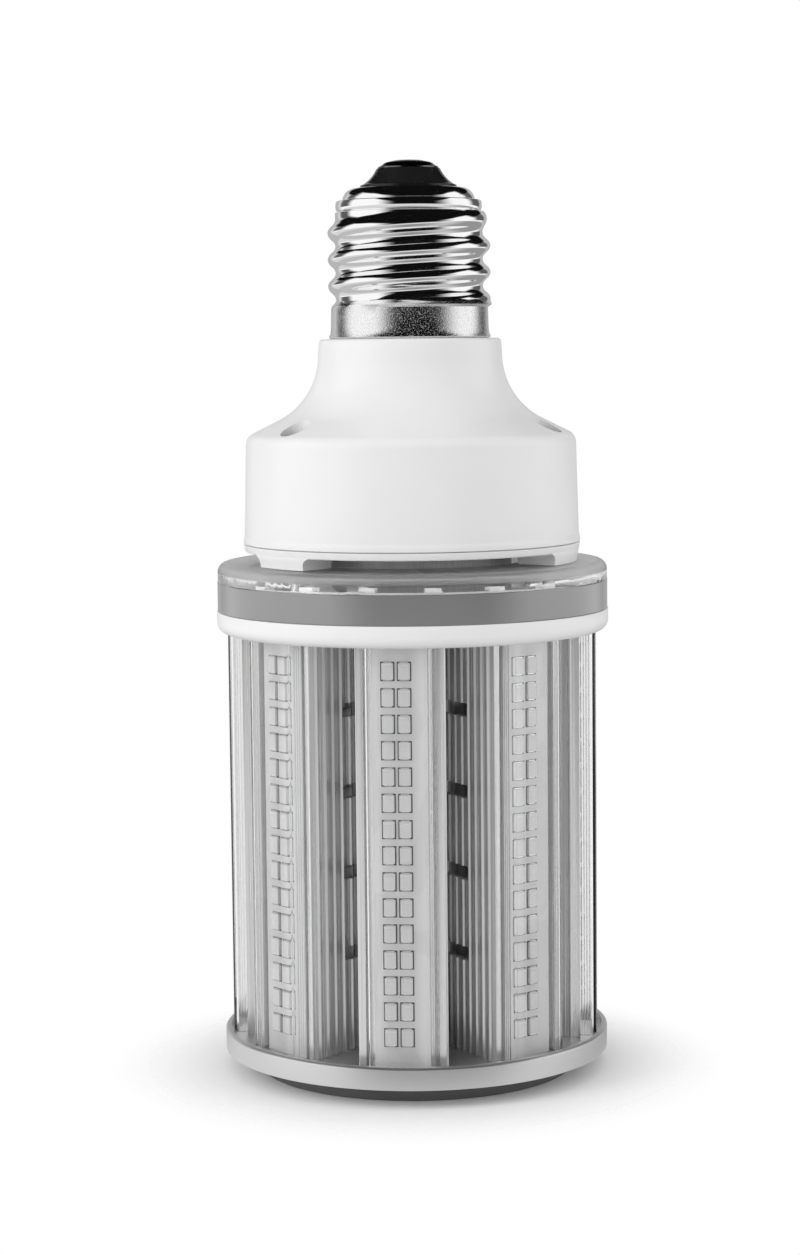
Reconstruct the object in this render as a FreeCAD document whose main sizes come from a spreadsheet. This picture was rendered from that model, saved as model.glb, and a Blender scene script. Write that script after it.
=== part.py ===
"""Corn LED lamp with a mogul screw cap, standing on its flat end.

Eight aluminium channels stand in a ring round an open core.  Each carries a
strip board with a double row of LEDs behind a clear snap-on cover.  A turned
ring closes the channels below, a collar and a carrier close them above, and a
driver housing on three short legs holds the rolled screw shell of the cap.

Millimetres, +Z up to the cap, origin on the floor under the lamp's axis.
The front of the lamp faces -Y.
"""
import FreeCAD, Part
import math
import os
import re

import Sketcher

doc = FreeCAD.newDocument("corn_lamp")

# The driving sizes: name, millimetres (or degrees, or a count), meaning.
DRIVING_SIZES = [
    ("end_cap_height", 4.6, "dark cap under the base ring"),
    ("end_cap_radius", 38.7, "outside of the dark cap"),
    ("end_cap_wall", 1.8, "wall and floor of the dark cap"),
    ("ring_height", 5.4, "turned aluminium base ring"),
    ("ring_margin", 2.5, "base ring outside the fronts of the strip covers"),
    ("bore_margin", 2.4, "holes of ring and collar inside the channel walls"),
    ("ring_chamfer", 0.5, "bright top edge of the base ring"),
    ("ring_recess", 1.4, "floor of the base ring below its rim"),
    ("ring_rim", 1.4, "rim of the base ring round the channels"),
    ("channel_length", 98.4, "the eight channels, base ring to collar"),
    ("channel_count", 8, "channels round the lamp"),
    ("first_angle", -4.8, "turn of channel 1 from the front, towards +X"),
    ("core_radius", 16.4, "inner ends of the channel walls"),
    ("face_radius", 39.4, "front faces of the channels, under the boards"),
    ("lip_width", 1.6, "lips beside the legs of the clear cover"),
    ("face_thickness", 1.8, "plate of the channel under the board"),
    ("wall_thickness", 1.3, "side walls of a channel"),
    ("wall_slope", 11.75, "lean of a side wall, degrees"),
    ("lip_height", 1.2, "lips that hold the clear cover"),
    ("rib_count", 8, "ribs on each side wall"),
    ("rib_height", 0.5, "ribs proud of the wall"),
    ("rib_width", 1.0, "foot of a rib"),
    ("rib_start", 0.6, "plain wall before the first rib and after the last"),
    ("window_height", 3.2, "air windows in the channel walls"),
    ("window_reach", 29.3, "radius that the windows reach out to"),
    ("window_count", 4, "windows along a channel"),
    ("window_start", 23.6, "middle of the lowest window over the foot"),
    ("window_end", 16.6, "middle of the highest window under the collar"),
    ("port_radius", 2.7, "screw port inside a channel"),
    ("port_overlap", 0.4, "screw port grown into the face plate"),
    ("board_gap", 1.0, "strip board beside the legs of its cover"),
    ("board_thickness", 1.0, "strip board"),
    ("cover_half_width", 8.4, "outside of the clear strip cover"),
    ("cover_height", 5.0, "clear strip cover over the channel face"),
    ("cover_wall", 0.9, "clear strip cover"),
    ("cover_round", 1.6, "outer corners of the strip cover"),
    ("led_width", 3.0, "LED across the strip"),
    ("led_length", 4.0, "LED along the strip"),
    ("led_height", 0.8, "LED over its board"),
    ("led_rows", 15, "LED pairs on a strip"),
    ("led_start", 7.1, "middle of the lowest LED row over the foot"),
    ("led_end", 5.6, "middle of the highest LED row under the collar"),
    ("led_spacing", 3.85, "between the two columns"),
    ("led_shift", 0.8, "pair of columns left of the strip's middle"),
    ("collar_height", 5.3, "white collar over the channels"),
    ("collar_margin", 3.1, "collar outside the fronts of the strip covers"),
    ("collar_ledge", 6.7, "collar outside the foot of the driver housing, at least"),
    ("collar_round", 2.6, "rounded lower edge of the collar"),
    ("carrier_height", 7.2, "grey carrier over the collar"),
    ("carrier_inset", 0.2, "carrier inside the edge of the collar"),
    ("carrier_wall", 2.2, "rim and plate of the carrier"),
    ("seat_depth", 1.1, "uplight board below the rim of the carrier"),
    ("uplight_thickness", 1.6, "ring board with the upward LEDs"),
    ("uplight_count", 18, "upward LEDs"),
    ("uplight_inset", 4.9, "circle of upward LEDs inside the carrier's edge"),
    ("lens_height", 4.4, "clear ring over the upward LEDs"),
    ("lens_inset", 0.1, "clear ring inside the edge of the carrier"),
    ("lens_gap", 3.3, "bore of the clear ring outside the neck tube"),
    ("lens_wall", 1.2, "clear ring"),
    ("lens_round", 2.2, "rounded top edge of the clear ring"),
    ("neck_radius", 24.2, "outside of the neck tube"),
    ("neck_wall", 1.4, "neck tube"),
    ("leg_height", 2.7, "legs of the housing base, the open vent"),
    ("leg_angle", 24.0, "width of a leg round the lamp, degrees"),
    ("leg_turn", 68.5, "first leg from the front, towards +X"),
    ("leg_gap", 5.8, "legs outside the neck tube"),
    ("leg_count", 3, "legs, screws and wells"),
    ("base_rim_height", 1.8, "rim of the housing base"),
    ("housing_radius", 40.8, "foot of the driver housing"),
    ("housing_lip", 0.35, "lip at the foot of the housing"),
    ("housing_draft", 0.9, "taper of the housing, foot to shoulder"),
    ("shoulder_rise", 23.0, "tapered side, foot to shoulder"),
    ("shoulder_height", 4.5, "rounded shoulder"),
    ("shoulder_inset", 3.7, "rounded shoulder, inwards"),
    ("slope_height", 2.15, "sloping top over the shoulder"),
    ("slope_inset", 4.3, "sloping top, inwards"),
    ("flare_height", 15.65, "hollow flare over the sloping top"),
    ("top_height", 3.7, "upright edge over the flare"),
    ("top_margin", 2.7, "top of the flare outside the foot of the shell"),
    ("top_draft", 0.3, "taper of the upright edge"),
    ("housing_wall", 2.0, "wall of the housing"),
    ("well_inset", 6.2, "circle of screw wells inside the foot of the housing"),
    ("well_radius", 3.6, "screw well"),
    ("well_depth", 8.1, "floor of a screw well under the shoulder"),
    ("boss_wall", 1.4, "wall of a screw boss"),
    ("housing_screw_radius", 1.5, "long screws of the housing"),
    ("skirt_flare", 1.8, "foot of the skirt outside the thread root"),
    ("skirt_step", 1.2, "top of the skirt outside the thread root"),
    ("skirt_height", 7.6, "plain skirt under the thread"),
    ("root_radius", 17.7, "root of the knuckle thread"),
    ("knuckle_height", 1.85, "crest over root of the knuckle thread"),
    ("thread_pitch", 6.35, "knuckle thread"),
    ("thread_margin", 1.8, "middle of the ridge over the skirt where it starts"),
    ("thread_end", 0.4, "middle of the ridge under the plain band where it ends"),
    ("knuckle_radius", 2.6, "round section of the ridge"),
    ("bead_rise", 30.4, "plain band over the thread, its foot"),
    ("bead_height", 2.4, "plain band over the thread"),
    ("dome_height", 3.4, "rounded top of the shell"),
    ("dome_inset", 6.1, "mouth of the shell inside the thread root"),
    ("shell_wall", 0.7, "screw shell at the root"),
    ("insulator_height", 3.3, "black insulator over the shell"),
    ("insulator_inset", 3.0, "top of the insulator inside the mouth"),
    ("insulator_depth", 4.0, "insulator inside the shell"),
    ("contact_inset", 1.2, "centre contact inside the top of the insulator"),
    ("contact_edge", 1.3, "edge of the centre contact"),
    ("contact_dome", 1.8, "dome of the centre contact"),
    ("rivet_radius", 2.2, "rivet of the centre contact"),
    ("neck_clearance", 0.15, "housing neck inside the screw shell"),
    ("driver_gap", 1.1, "driver board inside the screw bosses"),
    ("driver_thickness", 1.6, "driver board"),
    ("standoff_height", 4.0, "standoffs under the driver board"),
    ("transformer_size", 20.0, "side of the transformer core"),
    ("transformer_height", 17.0, "transformer"),
    ("capacitor_radius", 8.0, "smoothing capacitor"),
    ("capacitor_headroom", 0.5, "smoothing capacitor under the shoulder"),
    ("film_height", 12.0, "film capacitor"),
    ("choke_radius", 7.0, "filter choke"),
    ("choke_height", 9.0, "filter choke"),
    ("lead_radius", 0.9, "insulated lead"),
    ("post_gap", 0.3, "screw posts inside the heads of the strip screws"),
    ("post_radius", 4.4, "screw posts of the end cap"),
    ("strip_screw_radius", 1.4, "screws into the channel ports"),
    ("strip_screw_length", 8.0, "screw shank inside the port"),
    ("head_radius", 2.6, "screw heads"),
    ("head_height", 1.8, "screw heads"),
    ("cap_screw_grip", 3.0, "end cap screws inside the base ring"),
    ("boss_drop", 3.0, "screw bosses under the carrier plate"),
    ("uplight_turn", 6.0, "first upward LED from the front, degrees"),
    ("standoff_radius", 1.6, "standoffs under the driver board"),
    ("standoff_inset", 2.9, "standoffs inside the edge of the driver board"),
    ("dome_step", 1.5, "rounded top inside the plain band"),
    ("dome_round", 4.1, "rounding of the shell's top"),
    ("insulator_lip", 0.5, "straight edge of the insulator over the shell"),
    ("insulator_round", 6.0, "rounded side of the insulator"),
    ("lead_hole", 3.0, "radius of the hole for the output leads"),
    ("lead_place", 9.0, "output leads beside the lamp's axis"),
    ("lead_bend", 6.0, "straight end of a lead"),
    ("lead_sway", 4.0, "sideways sway of a lead"),
    ("transformer_place", 13.0, "transformer behind the axis"),
    ("capacitor_place", 14.0, "smoothing capacitor off the axis"),
    ("choke_place", 15.0, "filter choke off the axis"),
    ("film_place", 18.0, "film capacitor off the axis"),
    ("clearance", 0.2, "hole round a screw, board in its seat"),
]

sheet = doc.addObject("Spreadsheet::Sheet", "Sizes")
for row, (alias, value, meaning) in enumerate(DRIVING_SIZES, start=1):
    sheet.set(f"A{row}", str(value))
    sheet.setAlias(f"A{row}", alias)
    sheet.set(f"B{row}", meaning)
doc.recompute()

NAMES = {alias for alias, _, _ in DRIVING_SIZES}


def formula(text):
    """A formula in the sizes' plain names, as the document's expressions want it."""
    return re.sub(r"[a-z_]+", lambda word: "Sizes." * (word.group() in NAMES) + word.group(), str(text))


def value(text):
    """What a formula comes to, as a plain number."""
    return float(sheet.evalExpression(formula(text)))


def bind(obj, **properties):
    """Tie properties of an object to formulas."""
    for name, text in properties.items():
        obj.setExpression(name, formula(text))
    return obj


def place(obj, x="0", y="0", z="0", turn=None, prefix=".Placement"):
    """Tie an object's place, and its turn about the lamp's axis, to formulas."""
    for axis, text in (("x", x), ("y", y), ("z", z)):
        if text != "0":
            obj.setExpression(f"{prefix}.Base.{axis}", formula(text))
    if turn is not None:
        obj.Placement.Rotation = FreeCAD.Rotation(FreeCAD.Vector(0, 0, 1), 10)
        obj.setExpression(f"{prefix}.Rotation.Angle", formula(turn))
    return obj


# Radii and widths that pieces share, as formulas in the sizes above.
CROWN = "(face_radius + cover_height)"
FACE_HALF_WIDTH = "(cover_half_width + clearance + lip_width)"
BOARD_HALF_WIDTH = "(cover_half_width - cover_wall - board_gap)"
PORT_CIRCLE = "(face_radius - face_thickness - port_radius + port_overlap)"
POST_CIRCLE = f"({PORT_CIRCLE} - head_radius - post_radius - post_gap)"
BORE = "(core_radius - bore_margin)"
RING_RADIUS = f"({CROWN} + ring_margin)"
COLLAR_RADIUS = f"max({CROWN} + collar_margin; housing_radius + collar_ledge)"
CARRIER_RADIUS = f"({COLLAR_RADIUS} - carrier_inset)"
LENS_RADIUS = f"({CARRIER_RADIUS} - lens_inset)"
LENS_BORE = "(neck_radius + lens_gap)"
NECK_BORE = "(neck_radius - neck_wall)"
LEG_BORE = "(neck_radius + leg_gap)"
WELL_CIRCLE = "(housing_radius - well_inset)"
DRIVER_RADIUS = f"({WELL_CIRCLE} - well_radius - boss_wall - driver_gap)"
STANDOFF_CIRCLE = f"({DRIVER_RADIUS} - standoff_inset)"
SHOULDER_RADIUS = "(housing_radius - housing_draft)"
SLOPE_RADIUS = f"({SHOULDER_RADIUS} - shoulder_inset)"
FLARE_RADIUS = f"({SLOPE_RADIUS} - slope_inset)"
SKIRT_RADIUS = "(root_radius + skirt_flare)"
SKIRT_TOP_RADIUS = "(root_radius + skirt_step)"
TOP_RADIUS = f"({SKIRT_RADIUS} + top_margin)"
CREST_RADIUS = "(root_radius + knuckle_height)"
CORE_RADIUS = "(root_radius - shell_wall - neck_clearance)"
MOUTH_RADIUS = "(root_radius - dome_inset)"
CONTACT_RADIUS = f"({MOUTH_RADIUS} - insulator_inset - contact_inset)"

# Heights of the joints between the stacked pieces.
RING_FOOT = "end_cap_height"
RING_TOP = f"({RING_FOOT} + ring_height)"
CHANNEL_FOOT = f"({RING_TOP} - ring_recess)"
COLLAR_FOOT = f"({CHANNEL_FOOT} + channel_length)"
CARRIER_FOOT = f"({COLLAR_FOOT} + collar_height)"
CARRIER_TOP = f"({CARRIER_FOOT} + carrier_height)"
SEAT = f"({CARRIER_TOP} - seat_depth)"
UPLIGHT_TOP = f"({SEAT} + uplight_thickness)"
LENS_TOP = f"({CARRIER_TOP} + lens_height)"
HOUSING_FOOT = f"({LENS_TOP} + leg_height + base_rim_height)"
DRIVER_FOOT = f"({HOUSING_FOOT} + standoff_height)"
DRIVER_TOP = f"({DRIVER_FOOT} + driver_thickness)"

# Heights inside the housing and the cap, over their own feet.
SLOPE_RISE = "(shoulder_rise + shoulder_height)"
FLARE_RISE = f"({SLOPE_RISE} + slope_height)"
TOP_RISE = f"({FLARE_RISE} + flare_height)"
HOUSING_RISE = f"({TOP_RISE} + top_height)"
WELL_RISE = f"({SLOPE_RISE} - well_depth)"
THREAD_START = "(skirt_height + thread_margin)"
THREAD_RISE = f"(bead_rise - thread_end - {THREAD_START})"
BAND_RISE = "(bead_rise + bead_height)"
DOME_RISE = f"({BAND_RISE} + dome_height)"
SHELL_FOOT = f"({HOUSING_FOOT} + {HOUSING_RISE})"
SHELL_TOP = f"({SHELL_FOOT} + {DOME_RISE})"
INSULATOR_TOP = f"({SHELL_TOP} + insulator_height)"


def tangent_radius(inwards, upwards):
    """Radius of an arc that starts upright and ends so far in and up."""
    return f"((({inwards}) ^ 2 + ({upwards}) ^ 2) / (2 * ({inwards})))"


def outline(sketch, points, arcs=()):
    """A closed outline through points, each a pair of formulas (across, up).

    arcs maps the number of a side to its radius.  An arc bulges to the right on
    the way round, or with a minus sign in front to the left.
    """
    arcs = dict(arcs)
    corners = [FreeCAD.Vector(value(across), value(up), 0) for across, up in points]
    sides, ties, formulas = [], [], []
    count = len(points)
    base = sketch.GeometryCount
    for i, start in enumerate(corners):
        end = corners[(i + 1) % count]
        if i in arcs:
            bulge = 1 if arcs[i].startswith("-") else -1
            radius = value(arcs[i].lstrip("-"))
            half = start.distanceToPoint(end) / 2
            depth = radius - math.sqrt(radius * radius - half * half)
            along = (end - start).normalize()
            middle = (start + end) / 2 + FreeCAD.Vector(-along.y, along.x, 0) * depth * bulge
            sides.append(Part.Arc(start, middle, end))
        else:
            sides.append(Part.LineSegment(start, end))
    sketch.addGeometry(sides, False)

    # An arc always runs anticlockwise, so its first point can be either end.
    def point_of(side, corner):
        first = sketch.getPoint(base + side, 1)
        return 1 if first.distanceToPoint(corner) < 1e-6 else 2

    for i, corner in enumerate(corners):
        before = (i - 1) % count
        here = point_of(i, corner)
        ties.append(
            Sketcher.Constraint("Coincident", base + before, point_of(before, corner), base + i, here)
        )
        for kind, line, coordinate, text in (
            ("DistanceX", -2, corner.x, points[i][0]),
            ("DistanceY", -1, corner.y, points[i][1]),
        ):
            if text == "0":
                ties.append(Sketcher.Constraint("PointOnObject", base + i, here, line))
            else:
                formulas.append((len(ties), text))
                ties.append(Sketcher.Constraint(kind, -1, 1, base + i, here, coordinate))
        if i in arcs:
            radius = arcs[i].lstrip("-")
            formulas.append((len(ties), radius))
            ties.append(Sketcher.Constraint("Radius", base + i, value(radius)))
    first = sketch.ConstraintCount
    sketch.addConstraint(ties)
    for index, text in formulas:
        sketch.setExpression(f"Constraints[{first + index}]", formula(text))
    return sketch


def circle(sketch, radius, across="0", up="0"):
    """A circle whose radius and middle are formulas."""
    centre = FreeCAD.Vector(value(across), value(up), 0)
    index = sketch.addGeometry(Part.Circle(centre, FreeCAD.Vector(0, 0, 1), value(radius)), False)
    size = sketch.addConstraint(Sketcher.Constraint("Radius", index, value(radius)))
    sketch.setExpression(f"Constraints[{size}]", formula(radius))
    for kind, line, text in (("DistanceX", -2, across), ("DistanceY", -1, up)):
        if text == "0":
            sketch.addConstraint(Sketcher.Constraint("PointOnObject", index, 3, line))
        else:
            tie = sketch.addConstraint(Sketcher.Constraint(kind, -1, 1, index, 3, value(text)))
            sketch.setExpression(f"Constraints[{tie}]", formula(text))
    return sketch


def on_circle(radius, turn):
    """Formulas for a point at a turn from the front, towards +X."""
    return f"{radius} * sin({turn})", f"-{radius} * cos({turn})"


def new_body(name):
    """A body that becomes the sub-part of that name."""
    body = doc.addObject("PartDesign::Body", name)
    body.Label = name
    return body


def sketch_on(body, role, name, lift=None):
    """A sketch on one of the body's own origin planes, lifted along its normal."""
    plane = next(p for p in body.Origin.OriginFeatures if p.Role == role)
    sketch = body.newObject("Sketcher::SketchObject", f"{body.Label}_{name}")
    sketch.AttachmentSupport = [(plane, "")]
    sketch.MapMode = "FlatFace"
    if lift is not None:
        sketch.setExpression(".AttachmentOffset.Base.z", formula(lift))
    return sketch


def feature(body, kind, sketch, name, **settings):
    """A feature on a sketch: text settings are formulas, the others plain values."""
    made = body.newObject(f"PartDesign::{kind}", f"{body.Label}_{name}")
    made.Profile = sketch
    for key, setting in settings.items():
        if isinstance(setting, str) and key not in ("Type", "Mode"):
            made.setExpression(key, formula(setting))
        else:
            setattr(made, key, setting)
    sketch.Visibility = False
    return made


def pattern(body, kind, original, sketch, axis, name, occurrences, **settings):
    """A linear or polar pattern about an axis of a sketch, made the body's tip."""
    made = body.newObject(f"PartDesign::{kind}", f"{body.Label}_{name}")
    made.Originals = [original]
    setattr(made, "Direction" if kind == "LinearPattern" else "Axis", (sketch, [axis]))
    made.setExpression("Occurrences", formula(occurrences))
    for key, setting in settings.items():
        made.setExpression(key, formula(setting))
    body.Tip = made
    return made


def turned(name, points, arcs=(), z="0"):
    """A body turned about the lamp's axis from an outline (radius, height)."""
    body = new_body(name)
    sketch = outline(sketch_on(body, "XZ_Plane", "section"), points, arcs)
    feature(body, "Revolution", sketch, "turned", ReferenceAxis=(sketch, ["V_Axis"]), Angle=360.0)
    return place(body, z=z)


def rounds(body, name, originals, count, sketch):
    """Copies of a feature all round the lamp."""
    return pattern(body, "PolarPattern", originals, sketch, "N_Axis", name, count, Angle="360")


NODES = []


def publish(obj, name=None):
    """Put a finished object on the list of sub-parts."""
    if name is not None:
        obj.Label = name
    NODES.append(obj)
    return obj


def ring_of_holes(body, name, radius, depth, circle_radius, count, first, lift, upwards):
    """A ring of round pockets, cut up or down from a height of the body."""
    sketch = sketch_on(body, "XY_Plane", name, lift)
    across = f"{circle_radius} * sin({first})"
    up = f"-{circle_radius} * cos({first})"
    circle(sketch, radius, across, up)
    cut = feature(body, "Pocket", sketch, f"{name}_cut", Length=depth, Reversed=upwards)
    return rounds(body, f"{name}_ring", cut, count, sketch)


def end_cap():
    """Shallow dark cap that closes the lamp's foot: cup with three screw posts."""
    body = turned(
        "end_cap",
        [
            ("0", "0"),
            ("end_cap_radius", "0"),
            ("end_cap_radius", "end_cap_height"),
            ("end_cap_radius - end_cap_wall", "end_cap_height"),
            ("end_cap_radius - end_cap_wall", "end_cap_wall"),
            ("0", "end_cap_wall"),
        ],
    )
    posts = sketch_on(body, "XY_Plane", "posts", "end_cap_wall / 2")
    circle(posts, "post_radius", "0", f"-{POST_CIRCLE}")
    post = feature(body, "Pad", posts, "post", Length="end_cap_height - end_cap_wall / 2")
    rounds(body, "post_ring", post, "leg_count", posts)
    ring_of_holes(body, "sinks", "head_radius + clearance", "head_height + clearance",
                 POST_CIRCLE, "leg_count", "0", "0", True)
    ring_of_holes(body, "holes", "strip_screw_radius + clearance", "end_cap_height",
                 POST_CIRCLE, "leg_count", "0", "0", True)
    return publish(body)


def base_ring():
    """Turned aluminium ring: a rim round the floor that the channels stand on."""
    floor = "ring_height - ring_recess"
    body = turned(
        "base_ring",
        [
            (BORE, "0"),
            (RING_RADIUS, "0"),
            (RING_RADIUS, "ring_height - ring_chamfer"),
            (f"{RING_RADIUS} - ring_chamfer", "ring_height"),
            (f"{RING_RADIUS} - ring_rim", "ring_height"),
            (f"{RING_RADIUS} - ring_rim", floor),
            (BORE, floor),
        ],
        z=RING_FOOT,
    )
    ring_of_holes(body, "holes", "strip_screw_radius + clearance", "ring_height",
                 PORT_CIRCLE, "channel_count", "first_angle", "0", True)
    ring_of_holes(body, "sinks", "head_radius + clearance", "head_height",
                 PORT_CIRCLE, "channel_count", "first_angle", "0", True)
    ring_of_holes(body, "cap_holes", "strip_screw_radius", "cap_screw_grip",
                 POST_CIRCLE, "leg_count", "0", "0", True)
    return publish(body)


def upper_collar():
    """White collar over the channels, its lower edge well rounded."""
    body = turned(
        "upper_collar",
        [
            (BORE, "0"),
            (f"{COLLAR_RADIUS} - collar_round", "0"),
            (COLLAR_RADIUS, "collar_round"),
            (COLLAR_RADIUS, "collar_height"),
            (BORE, "collar_height"),
        ],
        {1: "collar_round"},
        z=COLLAR_FOOT,
    )
    ring_of_holes(body, "holes", "strip_screw_radius + clearance", "collar_height",
                 PORT_CIRCLE, "channel_count", "first_angle", "0", True)
    ring_of_holes(body, "sinks", "head_radius + clearance", "head_height",
                 PORT_CIRCLE, "channel_count", "first_angle", "collar_height", False)
    return publish(body)


def carrier_ring():
    """Grey cast carrier: rim, hub and the plate under the uplight board."""
    plate_top = "carrier_height - seat_depth"
    plate_foot = "carrier_height - seat_depth - carrier_wall"
    body = turned(
        "carrier_ring",
        [
            (BORE, "0"),
            (f"{BORE} + carrier_wall", "0"),
            (f"{BORE} + carrier_wall", plate_foot),
            (f"{CARRIER_RADIUS} - carrier_wall", plate_foot),
            (f"{CARRIER_RADIUS} - carrier_wall", "0"),
            (CARRIER_RADIUS, "0"),
            (CARRIER_RADIUS, "carrier_height"),
            (f"{CARRIER_RADIUS} - carrier_wall", "carrier_height"),
            (f"{CARRIER_RADIUS} - carrier_wall", plate_top),
            (BORE, plate_top),
        ],
        z=CARRIER_FOOT,
    )
    bosses = sketch_on(body, "XY_Plane", "bosses", "carrier_height - seat_depth - carrier_wall / 2")
    circle(bosses, "post_radius", *on_circle(WELL_CIRCLE, "leg_turn"))
    boss = feature(body, "Pad", bosses, "boss", Length="boss_drop", Reversed=True)
    rounds(body, "boss_ring", boss, "leg_count", bosses)
    ring_of_holes(body, "taps", "housing_screw_radius", "boss_drop + carrier_wall / 2",
                 WELL_CIRCLE, "leg_count", "leg_turn", "carrier_height - seat_depth", False)
    return publish(body)


def channel_section(body):
    """Section of a channel: face plate with lips, and two walls that close in."""
    lean = "tan(wall_slope)"
    wall = "wall_thickness / cos(wall_slope)"
    end = f"{FACE_HALF_WIDTH} - {lean} * (face_radius - core_radius)"
    back = f"{FACE_HALF_WIDTH} - {lean} * face_thickness - {wall}"
    lip = "cover_half_width + clearance"
    right = [
        (f"{end} - {wall}", "-core_radius"),
        (end, "-core_radius"),
        (FACE_HALF_WIDTH, "-face_radius"),
        (FACE_HALF_WIDTH, "-(face_radius + lip_height)"),
        (lip, "-(face_radius + lip_height)"),
        (lip, "-face_radius"),
    ]
    points = [(across, up) for across, up in right]
    points += [(f"-({across})", up) for across, up in reversed(right)]
    points += [(f"-({back})", "-(face_radius - face_thickness)"), (back, "-(face_radius - face_thickness)")]
    return outline(sketch_on(body, "XY_Plane", "section"), points)


def rib_row(body, name, side):
    """The ribs of one side wall: one triangular rib, repeated along the wall."""
    sketch = sketch_on(body, "XY_Plane", name)
    frame = sketch.AttachmentOffset
    frame.Rotation = FreeCAD.Rotation(FreeCAD.Vector(0, 0, 1), 80)
    sketch.AttachmentOffset = frame
    sketch.setExpression(".AttachmentOffset.Rotation.Angle", formula(f"90 + {side} * wall_slope"))
    sketch.setExpression(".AttachmentOffset.Base.x", formula(f"{side} * {FACE_HALF_WIDTH}"))
    sketch.setExpression(".AttachmentOffset.Base.y", formula("-face_radius"))
    points = [
        ("rib_start", f"{side} * rib_height / 2"),
        ("rib_start", "0"),
        ("rib_start + rib_width / 4", f"-({side} * rib_height)"),
        ("rib_start + rib_width * 3 / 4", f"-({side} * rib_height)"),
        ("rib_start + rib_width", "0"),
        ("rib_start + rib_width", f"{side} * rib_height / 2"),
    ]
    outline(sketch, points)
    rib = feature(body, "Pad", sketch, f"{name}_rib", Length="channel_length")
    pattern(body, "LinearPattern", rib, sketch, "H_Axis", f"{name}_ribs", "rib_count",
            Length="(face_radius - core_radius) / cos(wall_slope) - 2 * rib_start - rib_width")


def channel(number, turn):
    """One extruded channel: ribbed, with air windows through both walls."""
    body = new_body(f"channel_{number}")
    feature(body, "Pad", channel_section(body), "extrusion", Length="channel_length")
    port = circle(sketch_on(body, "XY_Plane", "port"), "port_radius", "0", f"-{PORT_CIRCLE}")
    feature(body, "Pad", port, "port_pad", Length="channel_length")
    rib_row(body, "right", 1)
    rib_row(body, "left", -1)
    bore = circle(sketch_on(body, "XY_Plane", "bore"), "strip_screw_radius", "0", f"-{PORT_CIRCLE}")
    feature(body, "Pocket", bore, "port_bore", Length="channel_length", Reversed=True)
    window = outline(
        sketch_on(body, "YZ_Plane", "window"),
        [
            ("-window_reach", "window_start - window_height / 2"),
            ("-core_radius / 2", "window_start - window_height / 2"),
            ("-core_radius / 2", "window_start + window_height / 2"),
            ("-window_reach", "window_start + window_height / 2"),
        ],
    )
    cut = feature(body, "Pocket", window, "window_cut", Length=f"4 * {FACE_HALF_WIDTH}", Midplane=True)
    pattern(body, "LinearPattern", cut, window, "V_Axis", "windows", "window_count",
            Length="channel_length - window_start - window_end")
    return publish(place(body, z=CHANNEL_FOOT, turn=turn))


def strip_board(number, turn):
    """Aluminium-core board on the face of a channel."""
    body = new_body(f"strip_board_{number}")
    sketch = outline(
        sketch_on(body, "XY_Plane", "section"),
        [
            (f"-{BOARD_HALF_WIDTH}", "-face_radius"),
            (f"-{BOARD_HALF_WIDTH}", "-(face_radius + board_thickness)"),
            (BOARD_HALF_WIDTH, "-(face_radius + board_thickness)"),
            (BOARD_HALF_WIDTH, "-face_radius"),
        ],
    )
    feature(body, "Pad", sketch, "board", Length="channel_length")
    return publish(place(body, z=CHANNEL_FOOT, turn=turn))


def strip_leds(number, turn):
    """The double row of LEDs of a strip, soldered to its board."""
    body = new_body(f"strip_leds_{number}")
    front = "face_radius + board_thickness"
    sketch = sketch_on(body, "XZ_Plane", "pair", front)
    for side in ("-", ""):
        middle = f"({side}led_spacing / 2 - led_shift)"
        outline(
            sketch,
            [
                (f"{middle} - led_width / 2", "led_start - led_length / 2"),
                (f"{middle} + led_width / 2", "led_start - led_length / 2"),
                (f"{middle} + led_width / 2", "led_start + led_length / 2"),
                (f"{middle} - led_width / 2", "led_start + led_length / 2"),
            ],
        )
    pair = feature(body, "Pad", sketch, "leds", Length="led_height")
    pattern(body, "LinearPattern", pair, sketch, "V_Axis", "rows", "led_rows",
            Length="channel_length - led_start - led_end")
    return publish(place(body, z=CHANNEL_FOOT, turn=turn))


def strip_cover(number, turn):
    """Clear extruded cover, its two legs between the lips of the channel."""
    body = new_body(f"strip_cover_{number}")
    crown = "face_radius + cover_height"
    inner = "cover_half_width - cover_wall"
    inner_round = "cover_round - cover_wall"
    right = [
        (inner, "-face_radius"),
        ("cover_half_width", "-face_radius"),
        ("cover_half_width", f"-({crown} - cover_round)"),
        ("cover_half_width - cover_round", f"-({crown})"),
    ]
    inside = [
        (f"{inner} - ({inner_round})", f"-({crown} - cover_wall)"),
        (inner, f"-({crown} - cover_round)"),
    ]
    points = right + [(f"-({across})", up) for across, up in reversed(right)]
    points += [(f"-({across})", up) for across, up in reversed(inside)] + inside
    arcs = {2: "-cover_round", 4: "-cover_round", 8: inner_round, 10: inner_round}
    sketch = outline(sketch_on(body, "XY_Plane", "section"), points, arcs)
    feature(body, "Pad", sketch, "extrusion", Length="channel_length")
    return publish(place(body, z=CHANNEL_FOOT, turn=turn))


def uplight_board():
    """Ring board with the upward LEDs, screwed down with the housing."""
    body = new_body("uplight_board")
    sketch = sketch_on(body, "XY_Plane", "ring")
    circle(sketch, f"{CARRIER_RADIUS} - carrier_wall - clearance")
    circle(sketch, "neck_radius + clearance")
    feature(body, "Pad", sketch, "board", Length="uplight_thickness")
    ring_of_holes(body, "holes", "housing_screw_radius + clearance", "uplight_thickness",
                 WELL_CIRCLE, "leg_count", "leg_turn", "0", True)
    return publish(place(body, z=SEAT))


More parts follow.
